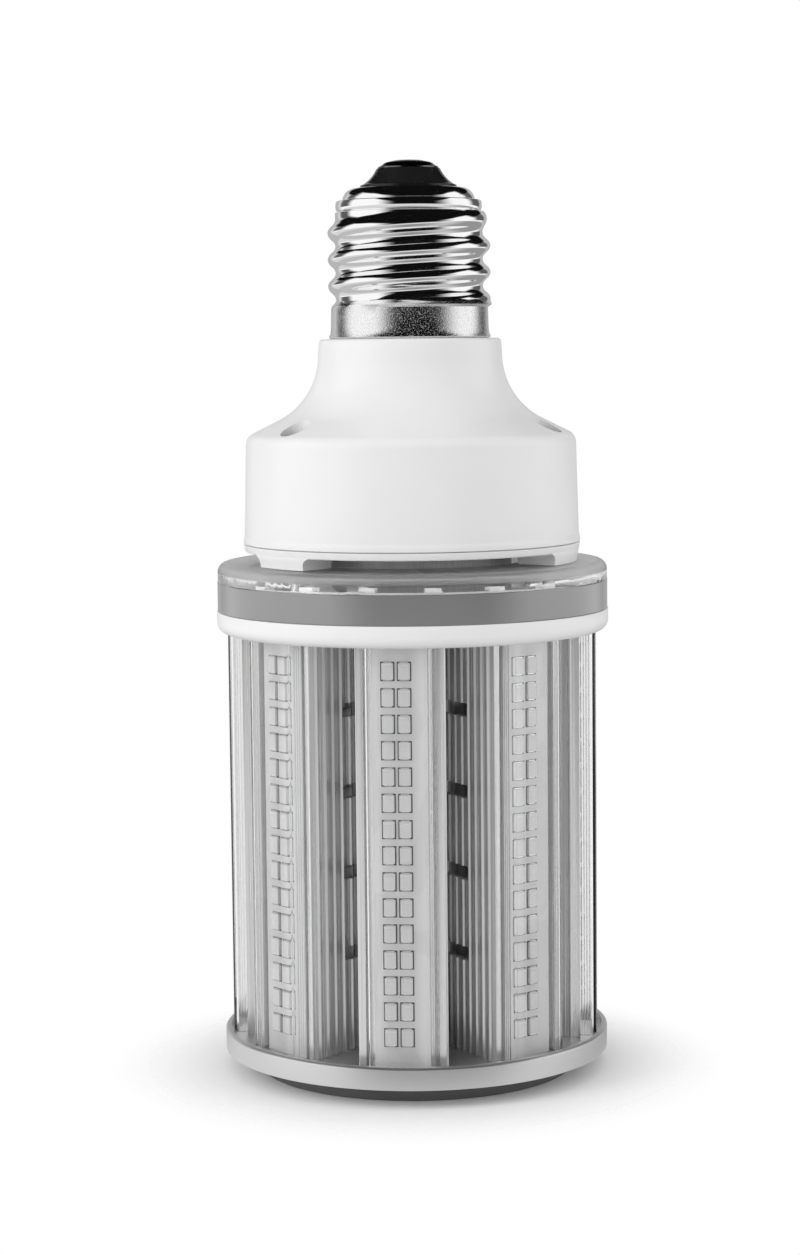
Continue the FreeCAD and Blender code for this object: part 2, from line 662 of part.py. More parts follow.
def uplight_leds():
    """The circle of upward LEDs."""
    body = new_body("uplight_leds")
    circle_radius = f"({CARRIER_RADIUS} - uplight_inset)"
    sketch = outline(
        sketch_on(body, "XY_Plane", "led"),
        [
            ("-led_length / 2", f"-({circle_radius} - led_width / 2)"),
            ("-led_length / 2", f"-({circle_radius} + led_width / 2)"),
            ("led_length / 2", f"-({circle_radius} + led_width / 2)"),
            ("led_length / 2", f"-({circle_radius} - led_width / 2)"),
        ],
    )
    led = feature(body, "Pad", sketch, "pad", Length="led_height")
    rounds(body, "circle", led, "uplight_count", sketch)
    return publish(place(body, z=UPLIGHT_TOP, turn="uplight_turn"))


def uplight_lens():
    """Clear ring over the upward LEDs: a channel turned upside down."""
    foot = "uplight_thickness - seat_depth"
    body = turned(
        "uplight_lens",
        [
            (f"{LENS_RADIUS} - lens_wall", "0"),
            (LENS_RADIUS, "0"),
            (LENS_RADIUS, "lens_height - lens_round"),
            (f"{LENS_RADIUS} - lens_round", "lens_height"),
            (LENS_BORE, "lens_height"),
            (LENS_BORE, foot),
            (f"{LENS_BORE} + lens_wall", foot),
            (f"{LENS_BORE} + lens_wall", "lens_height - lens_wall"),
            (f"{LENS_RADIUS} - lens_round", "lens_height - lens_wall"),
            (f"{LENS_RADIUS} - lens_wall", "lens_height - lens_round"),
        ],
        {2: "lens_round", 8: "-(lens_round - lens_wall)"},
        z=CARRIER_TOP,
    )
    ring_of_holes(body, "holes", "housing_screw_radius + clearance", "lens_height",
                 WELL_CIRCLE, "leg_count", "leg_turn", "0", True)
    return publish(body)


def neck_tube():
    """Aluminium tube round the wires, carrier plate to housing base."""
    body = turned(
        "neck_tube",
        [
            (NECK_BORE, "0"),
            ("neck_radius", "0"),
            ("neck_radius", "lens_height + leg_height + seat_depth"),
            (NECK_BORE, "lens_height + leg_height + seat_depth"),
        ],
        z=SEAT,
    )
    return publish(body)


def housing_base():
    """Moulded base of the housing: a rim plate on three curved legs."""
    body = turned(
        "housing_base",
        [
            (NECK_BORE, "leg_height"),
            ("housing_radius - housing_lip", "leg_height"),
            ("housing_radius - housing_lip", "leg_height + base_rim_height"),
            (NECK_BORE, "leg_height + base_rim_height"),
        ],
        z=LENS_TOP,
    )
    sketch = sketch_on(body, "XY_Plane", "leg")
    outer = "(housing_radius - 2 * housing_lip)"
    left, right = "leg_turn - leg_angle / 2", "leg_turn + leg_angle / 2"
    outline(
        sketch,
        [
            on_circle(LEG_BORE, left),
            on_circle(outer, left),
            on_circle(outer, right),
            on_circle(LEG_BORE, right),
        ],
        {1: outer, 3: f"-{LEG_BORE}"},
    )
    leg = feature(body, "Pad", sketch, "leg_pad", Length="leg_height + base_rim_height / 2")
    rounds(body, "legs", leg, "leg_count", sketch)
    posts = sketch_on(body, "XY_Plane", "posts", "leg_height + base_rim_height")
    circle(posts, "standoff_radius", "0", f"-{STANDOFF_CIRCLE}")
    post = feature(body, "Pad", posts, "post", Length="standoff_height")
    rounds(body, "standoffs", post, "leg_count", posts)
    ring_of_holes(body, "holes", "housing_screw_radius + clearance",
                 "leg_height + base_rim_height", WELL_CIRCLE, "leg_count", "leg_turn", "0", True)
    return publish(body)


def revolved(name, points, arcs=()):
    """A turned solid outside any body, for the boolean build of the housing."""
    sketch = doc.addObject("Sketcher::SketchObject", f"{name}_section")
    sketch.Placement.Rotation = FreeCAD.Rotation(FreeCAD.Vector(1, 0, 0), 90)
    outline(sketch, points, arcs)
    solid = doc.addObject("Part::Revolution", name)
    solid.Source = sketch
    solid.Axis = FreeCAD.Vector(0, 0, 1)
    solid.Angle = 360
    solid.Solid = True
    return solid


def cylinder(name, radius, height, x="0", y="0", z="0"):
    """A cylinder of the Part workbench, tied to formulas."""
    solid = bind(doc.addObject("Part::Cylinder", name), Radius=radius, Height=height)
    return place(solid, x, y, z)


def combine(kind, name, first, second):
    """Part::Cut, Part::Fuse or Part::Common of two objects."""
    made = doc.addObject(f"Part::{kind}", name)
    made.Base = first
    made.Tool = second
    return made


def round_the_legs(name, radius, height, z):
    """Cylinders on the circle of the screw wells, fused into one tool."""
    tools = []
    for number in range(int(value("leg_count"))):
        x, y = on_circle(WELL_CIRCLE, f"leg_turn + {number} * 360 / leg_count")
        tools.append(cylinder(f"{name}_{number + 1}", radius, height, x, y, z))
    made = doc.addObject("Part::MultiFuse", name)
    made.Shapes = tools
    return made


def driver_housing():
    """White moulded housing: bell with a hollow flare, screw bosses and wells."""
    outer = revolved(
        "housing_outside",
        [
            ("0", "0"),
            ("housing_radius", "0"),
            ("housing_radius", "2 * housing_lip"),
            ("housing_radius - housing_lip", "3 * housing_lip"),
            (SHOULDER_RADIUS, "shoulder_rise"),
            (SLOPE_RADIUS, SLOPE_RISE),
            (FLARE_RADIUS, FLARE_RISE),
            (TOP_RADIUS, TOP_RISE),
            (f"{TOP_RADIUS} - top_draft", HOUSING_RISE),
            ("0", HOUSING_RISE),
        ],
        {
            4: tangent_radius("shoulder_inset", "shoulder_height"),
            6: "-" + tangent_radius(f"{FLARE_RADIUS} - {TOP_RADIUS}", "flare_height"),
        },
    )
    slope = "housing_wall * 2 / 3"
    inner = revolved(
        "housing_inside",
        [
            ("0", "0"),
            ("housing_radius - housing_lip - housing_wall", "0"),
            (f"{SHOULDER_RADIUS} - housing_wall", "shoulder_rise"),
            (f"{SLOPE_RADIUS} - {slope}", f"{SLOPE_RISE} - housing_wall"),
            (f"{FLARE_RADIUS} - {slope}", f"{FLARE_RISE} - housing_wall"),
            (f"{TOP_RADIUS} - housing_wall", TOP_RISE),
            (CORE_RADIUS, f"{HOUSING_RISE} - housing_wall"),
            (CORE_RADIUS, HOUSING_RISE),
            ("0", HOUSING_RISE),
        ],
        {
            2: tangent_radius(f"shoulder_inset - housing_wall + {slope}", "shoulder_height - housing_wall"),
            4: "-" + tangent_radius(
                f"{FLARE_RADIUS} - {TOP_RADIUS} - {slope} + housing_wall", "flare_height + housing_wall"
            ),
        },
    )
    posts = round_the_legs("housing_posts", "well_radius + boss_wall", HOUSING_RISE, "0")
    shell = combine("Cut", "housing_shell", outer, inner)
    bosses = combine("Common", "housing_bosses", outer, posts)
    whole = combine("Fuse", "housing_whole", shell, bosses)
    wells = round_the_legs("housing_wells", "well_radius", HOUSING_RISE, WELL_RISE)
    holes = round_the_legs("housing_holes", "housing_screw_radius + clearance", HOUSING_RISE, "0")
    tools = combine("Fuse", "housing_tools", wells, holes)
    return publish(place(combine("Cut", "driver_housing", whole, tools), z=HOUSING_FOOT))


def cap_neck():
    """White moulded neck, pressed into the housing's top, that carries the shell."""
    body = turned(
        "cap_neck",
        [
            (f"{CORE_RADIUS} - housing_wall", "-housing_wall"),
            (CORE_RADIUS, "-housing_wall"),
            (CORE_RADIUS, "bead_rise"),
            (f"{CORE_RADIUS} - housing_wall", "bead_rise"),
        ],
        z=SHELL_FOOT,
    )
    return publish(body)


def screw(name, head_z, shank, radius, x, y, downwards):
    """A pan-head screw standing on the lamp's axis direction."""
    side = "-" if downwards else ""
    head_foot = f"{head_z}" if downwards else f"{head_z} - head_height"
    head = cylinder(f"{name}_head", "head_radius", "head_height", x, y, head_foot)
    foot = f"{head_z} - {shank}" if downwards else head_z
    body = cylinder(f"{name}_shank", radius, shank, x, y, foot)
    return combine("Fuse", name, head, body)


def compound(name, members):
    """Loose pieces of one kind that share a sub-part."""
    made = doc.addObject("Part::Compound", name)
    made.Links = members
    return publish(made)


def strip_screws():
    """Screws into both ends of every channel's port."""
    members = []
    for number in range(int(value("channel_count"))):
        x, y = on_circle(PORT_CIRCLE, f"first_angle + {number} * 360 / channel_count")
        shank = "(ring_height - ring_recess - head_height + strip_screw_length)"
        foot = f"({RING_FOOT} + head_height)"
        members.append(screw(f"foot_screw_{number + 1}", foot, shank, "strip_screw_radius", x, y, False))
        shank = "(collar_height - head_height + strip_screw_length)"
        top = f"({CARRIER_FOOT} - head_height)"
        members.append(screw(f"collar_screw_{number + 1}", top, shank, "strip_screw_radius", x, y, True))
    return compound("strip_screws", members)


def end_cap_screws():
    """Three screws through the posts of the dark cap into the base ring."""
    members = []
    for number in range(int(value("leg_count"))):
        x, y = on_circle(POST_CIRCLE, f"{number} * 360 / leg_count")
        shank = "(end_cap_height - head_height - clearance + cap_screw_grip)"
        head = "(head_height + clearance)"
        members.append(screw(f"cap_screw_{number + 1}", head, shank, "strip_screw_radius", x, y, False))
    return compound("end_cap_screws", members)


def housing_screws():
    """Three long screws from the wells of the housing down into the carrier."""
    members = []
    floor = f"({HOUSING_FOOT} + {WELL_RISE})"
    shank = f"({floor} - {SEAT} + boss_drop)"
    for number in range(int(value("leg_count"))):
        x, y = on_circle(WELL_CIRCLE, f"leg_turn + {number} * 360 / leg_count")
        members.append(screw(f"long_screw_{number + 1}", floor, shank, "housing_screw_radius", x, y, True))
    return compound("housing_screws", members)


def screw_shell():
    """Rolled screw shell: skirt, knuckle thread, plain band and rounded top."""
    bore = "(root_radius - shell_wall)"
    step = "(skirt_height + skirt_step)"
    body = turned(
        "screw_shell",
        [
            (f"{SKIRT_RADIUS} - shell_wall", "0"),
            (SKIRT_RADIUS, "0"),
            (SKIRT_TOP_RADIUS, "skirt_height"),
            ("root_radius", step),
            ("root_radius", BAND_RISE),
            ("root_radius - dome_step", BAND_RISE),
            (MOUTH_RADIUS, DOME_RISE),
            (MOUTH_RADIUS, f"{DOME_RISE} - shell_wall"),
            ("root_radius - dome_step - shell_wall", BAND_RISE),
            (bore, f"{BAND_RISE} - shell_wall"),
            (bore, f"{step} - shell_wall / 2"),
            (f"{SKIRT_TOP_RADIUS} - shell_wall", "skirt_height - shell_wall / 2"),
        ],
        {5: "dome_round", 7: "-(dome_round - shell_wall / 2)"},
        z=SHELL_FOOT,
    )
    buried = "(root_radius - shell_wall / 2)"
    middle = f"(knuckle_radius + {buried} - {CREST_RADIUS})"
    half = f"sqrt(knuckle_radius ^ 2 - {middle} ^ 2)"
    sketch = outline(
        sketch_on(body, "XZ_Plane", "knuckle"),
        [(buried, f"{THREAD_START} - {half}"), (buried, f"{THREAD_START} + {half}")],
        {0: "knuckle_radius"},
    )
    ridge = body.newObject("PartDesign::AdditiveHelix", "knuckle_thread")
    ridge.Profile = sketch
    ridge.ReferenceAxis = (sketch, ["V_Axis"])
    ridge.Mode = 0
    ridge.setExpression("Pitch", formula("thread_pitch"))
    ridge.setExpression("Height", formula(THREAD_RISE))
    beyond = f"({CREST_RADIUS} + knuckle_radius)"
    runout = outline(
        sketch_on(body, "XZ_Plane", "runout"),
        [
            ("root_radius", "bead_rise - thread_pitch / 4"),
            (beyond, "bead_rise - thread_pitch"),
            (beyond, "bead_rise + thread_pitch"),
            ("root_radius", "bead_rise + thread_pitch"),
        ],
    )
    feature(body, "Groove", runout, "runout_cut", ReferenceAxis=(runout, ["V_Axis"]), Angle=360.0)
    return publish(body)


def cap_insulator():
    """Black glazed insulator that closes the mouth of the shell."""
    body = turned(
        "cap_insulator",
        [
            ("rivet_radius", "-insulator_depth"),
            (f"{MOUTH_RADIUS} - shell_wall", "-insulator_depth"),
            (MOUTH_RADIUS, "-insulator_depth / 2"),
            (MOUTH_RADIUS, "insulator_lip"),
            (f"{MOUTH_RADIUS} - insulator_inset", "insulator_height"),
            ("rivet_radius", "insulator_height"),
        ],
        {3: "insulator_round"},
        z=SHELL_TOP,
    )
    return publish(body)


def centre_contact():
    """Domed centre contact with its rivet down through the insulator."""
    body = turned(
        "centre_contact",
        [
            ("0", "-(insulator_height + insulator_depth)"),
            ("rivet_radius", "-(insulator_height + insulator_depth)"),
            ("rivet_radius", "0"),
            (CONTACT_RADIUS, "0"),
            (CONTACT_RADIUS, "contact_edge"),
            ("0", "contact_edge + contact_dome"),
        ],
        {4: f"({CONTACT_RADIUS} ^ 2 + contact_dome ^ 2) / (2 * contact_dome)"},
        z=INSULATOR_TOP,
    )
    return publish(body)


def driver_board():
    """Round circuit board of the driver, on the standoffs of the housing base."""
    body = new_body("driver_board")
    sketch = sketch_on(body, "XY_Plane", "disc")
    circle(sketch, DRIVER_RADIUS)
    circle(sketch, "lead_hole", "lead_place", "0")
    feature(body, "Pad", sketch, "board", Length="driver_thickness")
    return publish(place(body, z=DRIVER_FOOT))


def boxed(name, width, depth, height, x, y):
    """A block on the driver board, its middle at x, y."""
    block = bind(doc.addObject("Part::Box", f"{name}_block"), Length=width, Width=depth, Height=height)
    return place(block, f"{x} - ({width}) / 2", f"{y} - ({depth}) / 2", DRIVER_TOP)


def transformer():
    """Ferrite core round a wound bobbin."""
    core = boxed("transformer", "transformer_size", "transformer_size * 0.6", "transformer_height",
                 "0", "transformer_place")
    coil = boxed("transformer_coil", "transformer_size * 0.7", "transformer_size * 0.85",
                 "transformer_height * 0.8", "0", "transformer_place")
    return publish(combine("Fuse", "transformer", core, coil))


def rounded_can(name, radius, height, x, y):
    """An upright can with a rounded rim on the driver board."""
    can = cylinder(f"{name}_can", radius, height, x, y, DRIVER_TOP)
    return publish(can, name)


def lead(name, radius, points):
    """An insulated lead: straight runs joined by tangent arcs."""
    corners = [FreeCAD.Vector(*(value(c) for c in point)) for point in points]
    edges, start = [], corners[0]
    for before, corner, after in zip(corners, corners[1:], corners[2:]):
        back, on = (before - corner), (after - corner)
        turn = math.pi - back.getAngle(on)
        reach = 0.45 * min(back.Length, on.Length)
        bend = reach / math.tan(turn / 2)
        back.normalize()
        on.normalize()
        centre_way = (back + on).normalize()
        centre = corner + centre_way * (bend / math.cos(turn / 2))
        first, last = corner + back * reach, corner + on * reach
        edges.append(Part.LineSegment(start, first).toShape())
        edges.append(Part.Arc(first, centre - centre_way * bend, last).toShape())
        start = last
    edges.append(Part.LineSegment(start, corners[-1]).toShape())
    path = Part.Wire(edges)
    way = (corners[1] - corners[0]).normalize()
    ring = Part.Wire([Part.Circle(corners[0], way, value(radius)).toShape()])
    made = doc.addObject("Part::Feature", name)
    made.Shape = path.makePipeShell([ring], True, False)
    return made


def leads():
    """Leads from the cap to the driver, and from the driver to the strips."""
    top = f"{INSULATOR_TOP} - insulator_height - insulator_depth"
    board = DRIVER_TOP
    live = lead("live_lead", "lead_radius", [
        ("0", "0", top),
        ("0", "0", f"{top} - lead_bend"),
        ("lead_sway", "-lead_sway", f"{SHELL_FOOT}"),
        ("lead_sway", "-lead_sway * 2", f"{board} + lead_bend"),
        ("lead_sway", "-lead_sway * 2", board),
    ])
    neutral_top = f"({SHELL_TOP} - dome_height)"
    reach = f"({CORE_RADIUS} - housing_wall - lead_radius - clearance)"
    neutral = lead("neutral_lead", "lead_radius", [
        (f"-{reach}", "0", neutral_top),
        (f"-{reach}", "0", f"{neutral_top} - lead_bend"),
        ("-lead_sway * 2", "-lead_sway", f"{SHELL_FOOT}"),
        ("-lead_sway * 2", "-lead_sway * 2", f"{board} + lead_bend"),
        ("-lead_sway * 2", "-lead_sway * 2", board),
    ])
    publish(live)
    publish(neutral)
    pair = []
    for number, side in enumerate(("-", ""), start=1):
        gap = f"{side}lead_radius * 1.5"
        pair.append(cylinder(f"output_lead_{number}", "lead_radius",
                             f"{DRIVER_FOOT} - {CHANNEL_FOOT} - channel_length",
                             "lead_place", gap, COLLAR_FOOT))
    compound("output_leads", pair)


def strips():
    """The eight channels with their boards, LEDs and covers."""
    for number in range(1, int(value("channel_count")) + 1):
        turn = f"first_angle + {number - 1} * 360 / channel_count"
        channel(number, turn)
        strip_board(number, turn)
        strip_leds(number, turn)
        strip_cover(number, turn)


def driver():
    """Driver board with its transformer, capacitors, choke and fuse."""
    driver_board()
    transformer()
    room = f"{SLOPE_RISE} - housing_wall - standoff_height - driver_thickness"
    rounded_can("smoothing_capacitor", "capacitor_radius", f"{room} - capacitor_headroom",
                "capacitor_place", "-capacitor_place")
    rounded_can("filter_choke", "choke_radius", "choke_height", "-choke_place", "-choke_place")
    publish(boxed("film_capacitor", "film_height", "film_height / 2", "film_height",
                  "-film_place", "film_place / 4"), "film_capacitor")


def export():
    """Recompute, check every object and every shape, and write the STEP files."""
    doc.recompute()
    bad = [obj.Name for obj in doc.Objects if {"Invalid", "Error"} & set(obj.State)]
    if bad:
        raise RuntimeError(f"failed objects: {bad}")
    os.makedirs("parts", exist_ok=True)
    for node in NODES:
        shape = node.Shape
        if shape.isNull() or not shape.isValid() or not shape.Solids:
            raise RuntimeError(f"{node.Label} has no valid solid")
        shape.exportStep(f"parts/{node.Label}.step")
        print(f"{node.Label}: {len(shape.Solids)} solids, {shape.Volume / 1000:.2f} cm3")


end_cap()
end_cap_screws()
base_ring()
strips()
strip_screws()
upper_collar()
carrier_ring()
uplight_board()
uplight_leds()
uplight_lens()
neck_tube()
housing_base()
driver()
driver_housing()
cap_neck()
housing_screws()
leads()
screw_shell()
cap_insulator()
centre_contact()
export()
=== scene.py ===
# %% [markdown]
# # A corn lamp in Blender
# The CAD model gives every piece its place. This file keeps those places and
# gives the pieces the rounded edges, rolled thread, soldered LEDs and finishes
# of the real lamp. The frame is loaded first and nothing in it is moved.

# %% Load the frame
import math

import bmesh
import bpy
from mathutils import Matrix, Vector


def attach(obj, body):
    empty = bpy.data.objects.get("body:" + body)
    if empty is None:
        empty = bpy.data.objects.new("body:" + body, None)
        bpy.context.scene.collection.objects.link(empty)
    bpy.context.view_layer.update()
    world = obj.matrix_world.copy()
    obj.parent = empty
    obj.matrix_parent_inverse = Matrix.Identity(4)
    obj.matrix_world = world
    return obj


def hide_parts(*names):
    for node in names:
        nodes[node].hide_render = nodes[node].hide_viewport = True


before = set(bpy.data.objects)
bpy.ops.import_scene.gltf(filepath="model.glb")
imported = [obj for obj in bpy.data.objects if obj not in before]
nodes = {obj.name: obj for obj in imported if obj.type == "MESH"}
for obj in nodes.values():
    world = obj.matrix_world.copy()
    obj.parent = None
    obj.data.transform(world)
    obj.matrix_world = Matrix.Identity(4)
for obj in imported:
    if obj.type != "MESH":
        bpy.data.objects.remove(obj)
# The CAD colours step aside, so that the finishes below can have the plain names.
for old in list(bpy.data.materials):
    old.name = f"cad_{old.name}"
MM = 0.001
STRIPS = range(1, 9)


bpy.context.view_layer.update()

# %% [markdown]
# ## Shader maths as plain expressions
# A finish is a small program: grain times strength plus a base level. One class
# wraps a socket, so that ordinary operators add the Math nodes.

# %% The value and finish classes


class Value:
    """A number that changes over the surface, held as an output socket."""

    def __init__(self, finish, socket):
        self.finish = finish
        self.socket = socket

    def maths(self, operation, *others):
        """The result of a Math node on this value and others."""
        node = self.finish.node("Math", {"operation": operation}, dict(enumerate((self,) + others)))
        return Value(self.finish, node.outputs[0])

    def __add__(self, other):
        return self.maths("ADD", other)

    def __sub__(self, other):
        return self.maths("SUBTRACT", other)

    def __mul__(self, other):
        return self.maths("MULTIPLY", other)

    def __rsub__(self, other):
        return (self * -1.0).maths("ADD", other)

    __radd__ = __add__
    __rmul__ = __mul__

    def between(self, low, high, to_low=0.0, to_high=1.0):
        """The value mapped from one range to another, held inside it."""
        settings = {"interpolation_type": "SMOOTHSTEP", "clamp": True}
        values = dict(enumerate((self, low, high, to_low, to_high)))
        return Value(self.finish, self.finish.node("MapRange", settings, values).outputs[0])


class Finish:
    """A material under construction."""

    def __init__(self, name, **shader_sockets):
        self.material = bpy.data.materials.new(name)
        self.material.use_nodes = True
        self.tree = self.material.node_tree
        self.shader = self.tree.nodes["Principled BSDF"]
        self.set(**shader_sockets)

    def feed(self, node, values):
        """Links or sets the sockets of a node, by name or number."""
        for key, value in values.items():
            socket = node.inputs[key]
            if isinstance(value, Value):
                value = value.socket
            if isinstance(value, bpy.types.NodeSocket):
                self.tree.links.new(value, socket)
            else:
                socket.default_value = value

    def node(self, kind, settings=None, values=None):
        """A new shader node with its settings and its fed sockets."""
        made = self.tree.nodes.new("ShaderNode" + kind)
        for key, setting in (settings or {}).items():
            setattr(made, key, setting)
        self.feed(made, values or {})
        return made

    def set(self, **sockets):
        """Values of the main shader's sockets; an underscore stands for a space."""
        self.feed(self.shader, {key.replace("_", " "): value for key, value in sockets.items()})

    def place(self):
        """Object coordinates, which are the lamp's own, in metres."""
        return self.node("TexCoord").outputs["Object"]

    def stretched(self, across, along, up):
        """Object coordinates, stretched along the three axes."""
        values = {"Vector": self.place(), "Scale": (across, along, up)}
        return self.node("Mapping", None, values).outputs["Vector"]

    def noise(self, across, along=None, up=None, detail=3.0, rough=0.5):
        """Noise whose three numbers are grains to the metre along each axis."""
        along = across if along is None else along
        up = across if up is None else up
        values = {
            "Vector": self.stretched(across, along, up),
            "Scale": 1.0,
            "Detail": detail,
            "Roughness": rough,
        }
        return Value(self, self.node("TexNoise", None, values).outputs["Fac"])

    def axis_radius(self):
        """Distance from the lamp's axis, in metres."""
        flat = self.stretched(1.0, 1.0, 0.0)
        length = self.node("VectorMath", {"operation": "LENGTH"}, {0: flat})
        return Value(self, length.outputs["Value"])

    def height(self):
        """Height over the floor, in metres."""
        split = self.node("SeparateXYZ", None, {0: self.place()})
        return Value(self, split.outputs["Z"])

    def turn(self):
        """Turn about the axis from the front towards the right, in degrees."""
        split = self.node("SeparateXYZ", None, {0: self.place()})
        towards_front = Value(self, split.outputs["Y"]) * -1.0
        return Value(self, split.outputs["X"]).maths("ARCTAN2", towards_front) * math.degrees(1.0)

    def rise(self, level):
        """Angle over the horizontal plane at a level in metres, in degrees."""
        return (self.height() - level).maths("ARCTAN2", self.axis_radius()) * math.degrees(1.0)

    def see_through(self, factor):
        """Lets the surface vanish where the factor is 1."""
        values = {0: factor, 1: self.shader.outputs[0], 2: self.node("BsdfTransparent").outputs[0]}
        mix = self.node("MixShader", None, values)
        self.tree.links.new(mix.outputs[0], self.tree.nodes["Material Output"].inputs["Surface"])

    def colours(self, factor, first, second):
        """Two colours mixed by a value."""
        settings = {"data_type": "RGBA", "clamp_factor": True}
        values = {0: factor, 6: (*first, 1.0), 7: (*second, 1.0)}
        return self.node("Mix", settings, values).outputs[2]

    def bump(self, height, distance):
        """Relief: a height of 0 to 1 that stands for a distance in millimetres."""
        values = {"Height": height, "Distance": distance * MM, "Strength": 1.0}
        self.set(Normal=self.node("Bump", None, values).outputs["Normal"])


def grey(level):
    """The same level in red, green and blue."""
    return (level, level, level)


# %% [markdown]
# ## Finishes
# Each finish follows how the real piece is made: rolled and plated brass,
# moulded polycarbonate, extruded aluminium with die lines, turned aluminium
# with tool rings, a printed solder mask. Grain is small, a few tenths of a
# millimetre, and it moves roughness and relief more than colour.

# %% Finishes of the moulded, extruded and turned pieces


def moulded(name, level, roughness, coat=0.0, speckle=0.02, metal=0.0):
    """Moulded plastic: a faint orange peel and slightly uneven gloss."""
    finish = Finish(name, Coat_Weight=coat, Coat_Roughness=0.08, IOR=1.42, Metallic=metal)
    cloud = finish.noise(60.0)
    peel = finish.noise(900.0, detail=2.0)
    finish.set(
        Base_Color=finish.colours(cloud, grey(level - speckle), grey(level + speckle)),
        Roughness=cloud * 0.06 + peel * 0.04 + (roughness - 0.05),
    )
    finish.bump(peel, 0.0015)
    return finish.material


def extruded(name, level, roughness, metal, spread=0.06, lines=2600.0):
    """Matt extruded aluminium: fine die lines that run up the piece."""
    finish = Finish(name, Metallic=metal)
    streak = finish.noise(lines, lines, 6.0, detail=1.0)
    broad = finish.noise(420.0, 420.0, 3.0, detail=1.0)
    cloud = finish.noise(45.0, 45.0, 20.0)
    tone = streak.between(0.34, 0.62) * 0.75 + broad * 0.15 + cloud * 0.1
    finish.set(
        Base_Color=finish.colours(tone, grey(level - spread), grey(level + 0.03)),
        Roughness=streak * 0.06 + cloud * 0.06 + (roughness - 0.06),
    )
    finish.bump(streak * 0.7 + broad * 0.3, 0.002)
    return finish.material


def turned(name, level, roughness, pitch=0.12, metal=1.0):
    """Turned metal: rings left by the tool, and a satin face."""
    finish = Finish(name, Metallic=metal)
    cloud = finish.noise(50.0)
    wander = finish.noise(900.0, 900.0, 8.0, detail=1.0)
    phase = (finish.axis_radius() + finish.height()) * (2.0 * math.pi / (pitch * MM))
    ring = (phase + wander * 3.0).maths("SINE") * 0.5 + 0.5
    tone = cloud * 0.6 + ring * 0.4
    finish.set(
        Base_Color=finish.colours(tone, grey(level - 0.05), grey(level + 0.05)),
        Roughness=cloud * 0.1 + ring * 0.06 + (roughness - 0.08),
    )
    finish.bump(ring, 0.006)
    return finish.material


# %% Finishes of the screw cap
SKIRT_TOP = 0.1848


def plated_shell():
    """Nickel on rolled brass: near mirror on the thread, speckled on the skirt.

    The skirt is grainy, and its raised grains are dull enough to stay grey in
    a dark reflection. The thread is polished by the rolls.
    """
    finish = Finish("shell_nickel")
    skirt = finish.height().between(SKIRT_TOP, SKIRT_TOP + 1.8 * MM, 1.0, 0.0)
    grain = finish.noise(2900.0, detail=3.0, rough=0.6)
    cloud = finish.noise(220.0, 220.0, 90.0)
    specks = grain.between(0.36, 0.62)
    dull = grain.between(0.52, 0.62) * skirt
    finish.set(
        Base_Color=finish.colours(cloud * 0.3 + specks * 0.7 * skirt, grey(0.98), grey(0.74)),
        Metallic=1.0 - dull * 0.28,
        Roughness=cloud * 0.05 + skirt * 0.07 + 0.05,
    )
    finish.bump(grain * (skirt * 0.6 + 0.02) + cloud * 0.1, 0.07)
    return finish.material


def glazed_black():
    """Black fired glass round the contact: deep gloss with a few pinholes."""
    finish = Finish("insulator_black", Coat_Weight=0.15, Coat_Roughness=0.04, IOR=1.36)
    cloud = finish.noise(180.0)
    pits = finish.noise(1400.0, detail=1.0).between(0.30, 0.36)
    finish.set(
        Base_Color=finish.colours(cloud, grey(0.006), grey(0.016)),
        Roughness=cloud * 0.08 + (1.0 - pits) * 0.3 + 0.08,
    )
    finish.bump(pits * 0.6 + cloud * 0.4, 0.02)
    return finish.material


def contact_metal():
    """Centre contact: polished metal with faint rings and wear marks. Its low level is painted dark
    reflection.
    """
    finish = Finish("contact_metal", Metallic=1.0)
    cloud = finish.noise(300.0)
    ring = (finish.axis_radius() * (2.0 * math.pi / (0.2 * MM))).maths("SINE") * 0.5 + 0.5
    worn = finish.noise(700.0, detail=4.0).between(0.5, 0.7)
    finish.set(
        # The low grey levels are painted dark reflection on a brighter metal; the wear marks are
        # real.
        Base_Color=finish.colours(cloud * 0.6 + worn * 0.4, grey(0.10), grey(0.30)),
        Roughness=cloud * 0.14 + worn * 0.12 + 0.12,
    )
    finish.bump(ring * 0.4 + worn * 0.6, 0.006)
    return finish.material


# %% Finishes of the covers, the boards and the driver
# The flutes are so many millimetres apart. No frost is frost from a metre up.
FLUTE_PITCH = 0.62
NO_FROST = 1.0


def clear(name, up=6.0, frost_from=NO_FROST, frost=0.0, relief=0.006, flutes=0.0):
    """Clear polycarbonate: flow lines, frost above a height, flutes on its legs. The flutes are
    relief, and their darker tint is painted shade.
    """
    finish = Finish(name, Transmission_Weight=1.0, IOR=1.46)
    radius = finish.axis_radius()
    wave = (radius * (2.0 * math.pi / (FLUTE_PITCH * MM))).maths("SINE") * 0.5 + 0.5
    legs = radius.between(0.0442, 0.0438)
    flutes_and_painted_shade = wave * legs * flutes
    flow = finish.noise(700.0, 700.0, up, detail=2.0)
    dust = finish.noise(2400.0, detail=1.0).between(0.70, 0.76)
    frosted = finish.height().between(frost_from, frost_from + 0.8 * MM)
    finish.set(
        # The flutes darken the clear colour on the legs: painted shade of the walls seen edge on.
        Base_Color=finish.colours(flow * 0.06 + flutes_and_painted_shade, grey(0.985), grey(0.485)),
        Roughness=dust * 0.10 + frosted * frost,
    )
    finish.bump(flow + flutes_and_painted_shade * 8.0, relief)
    return finish.material


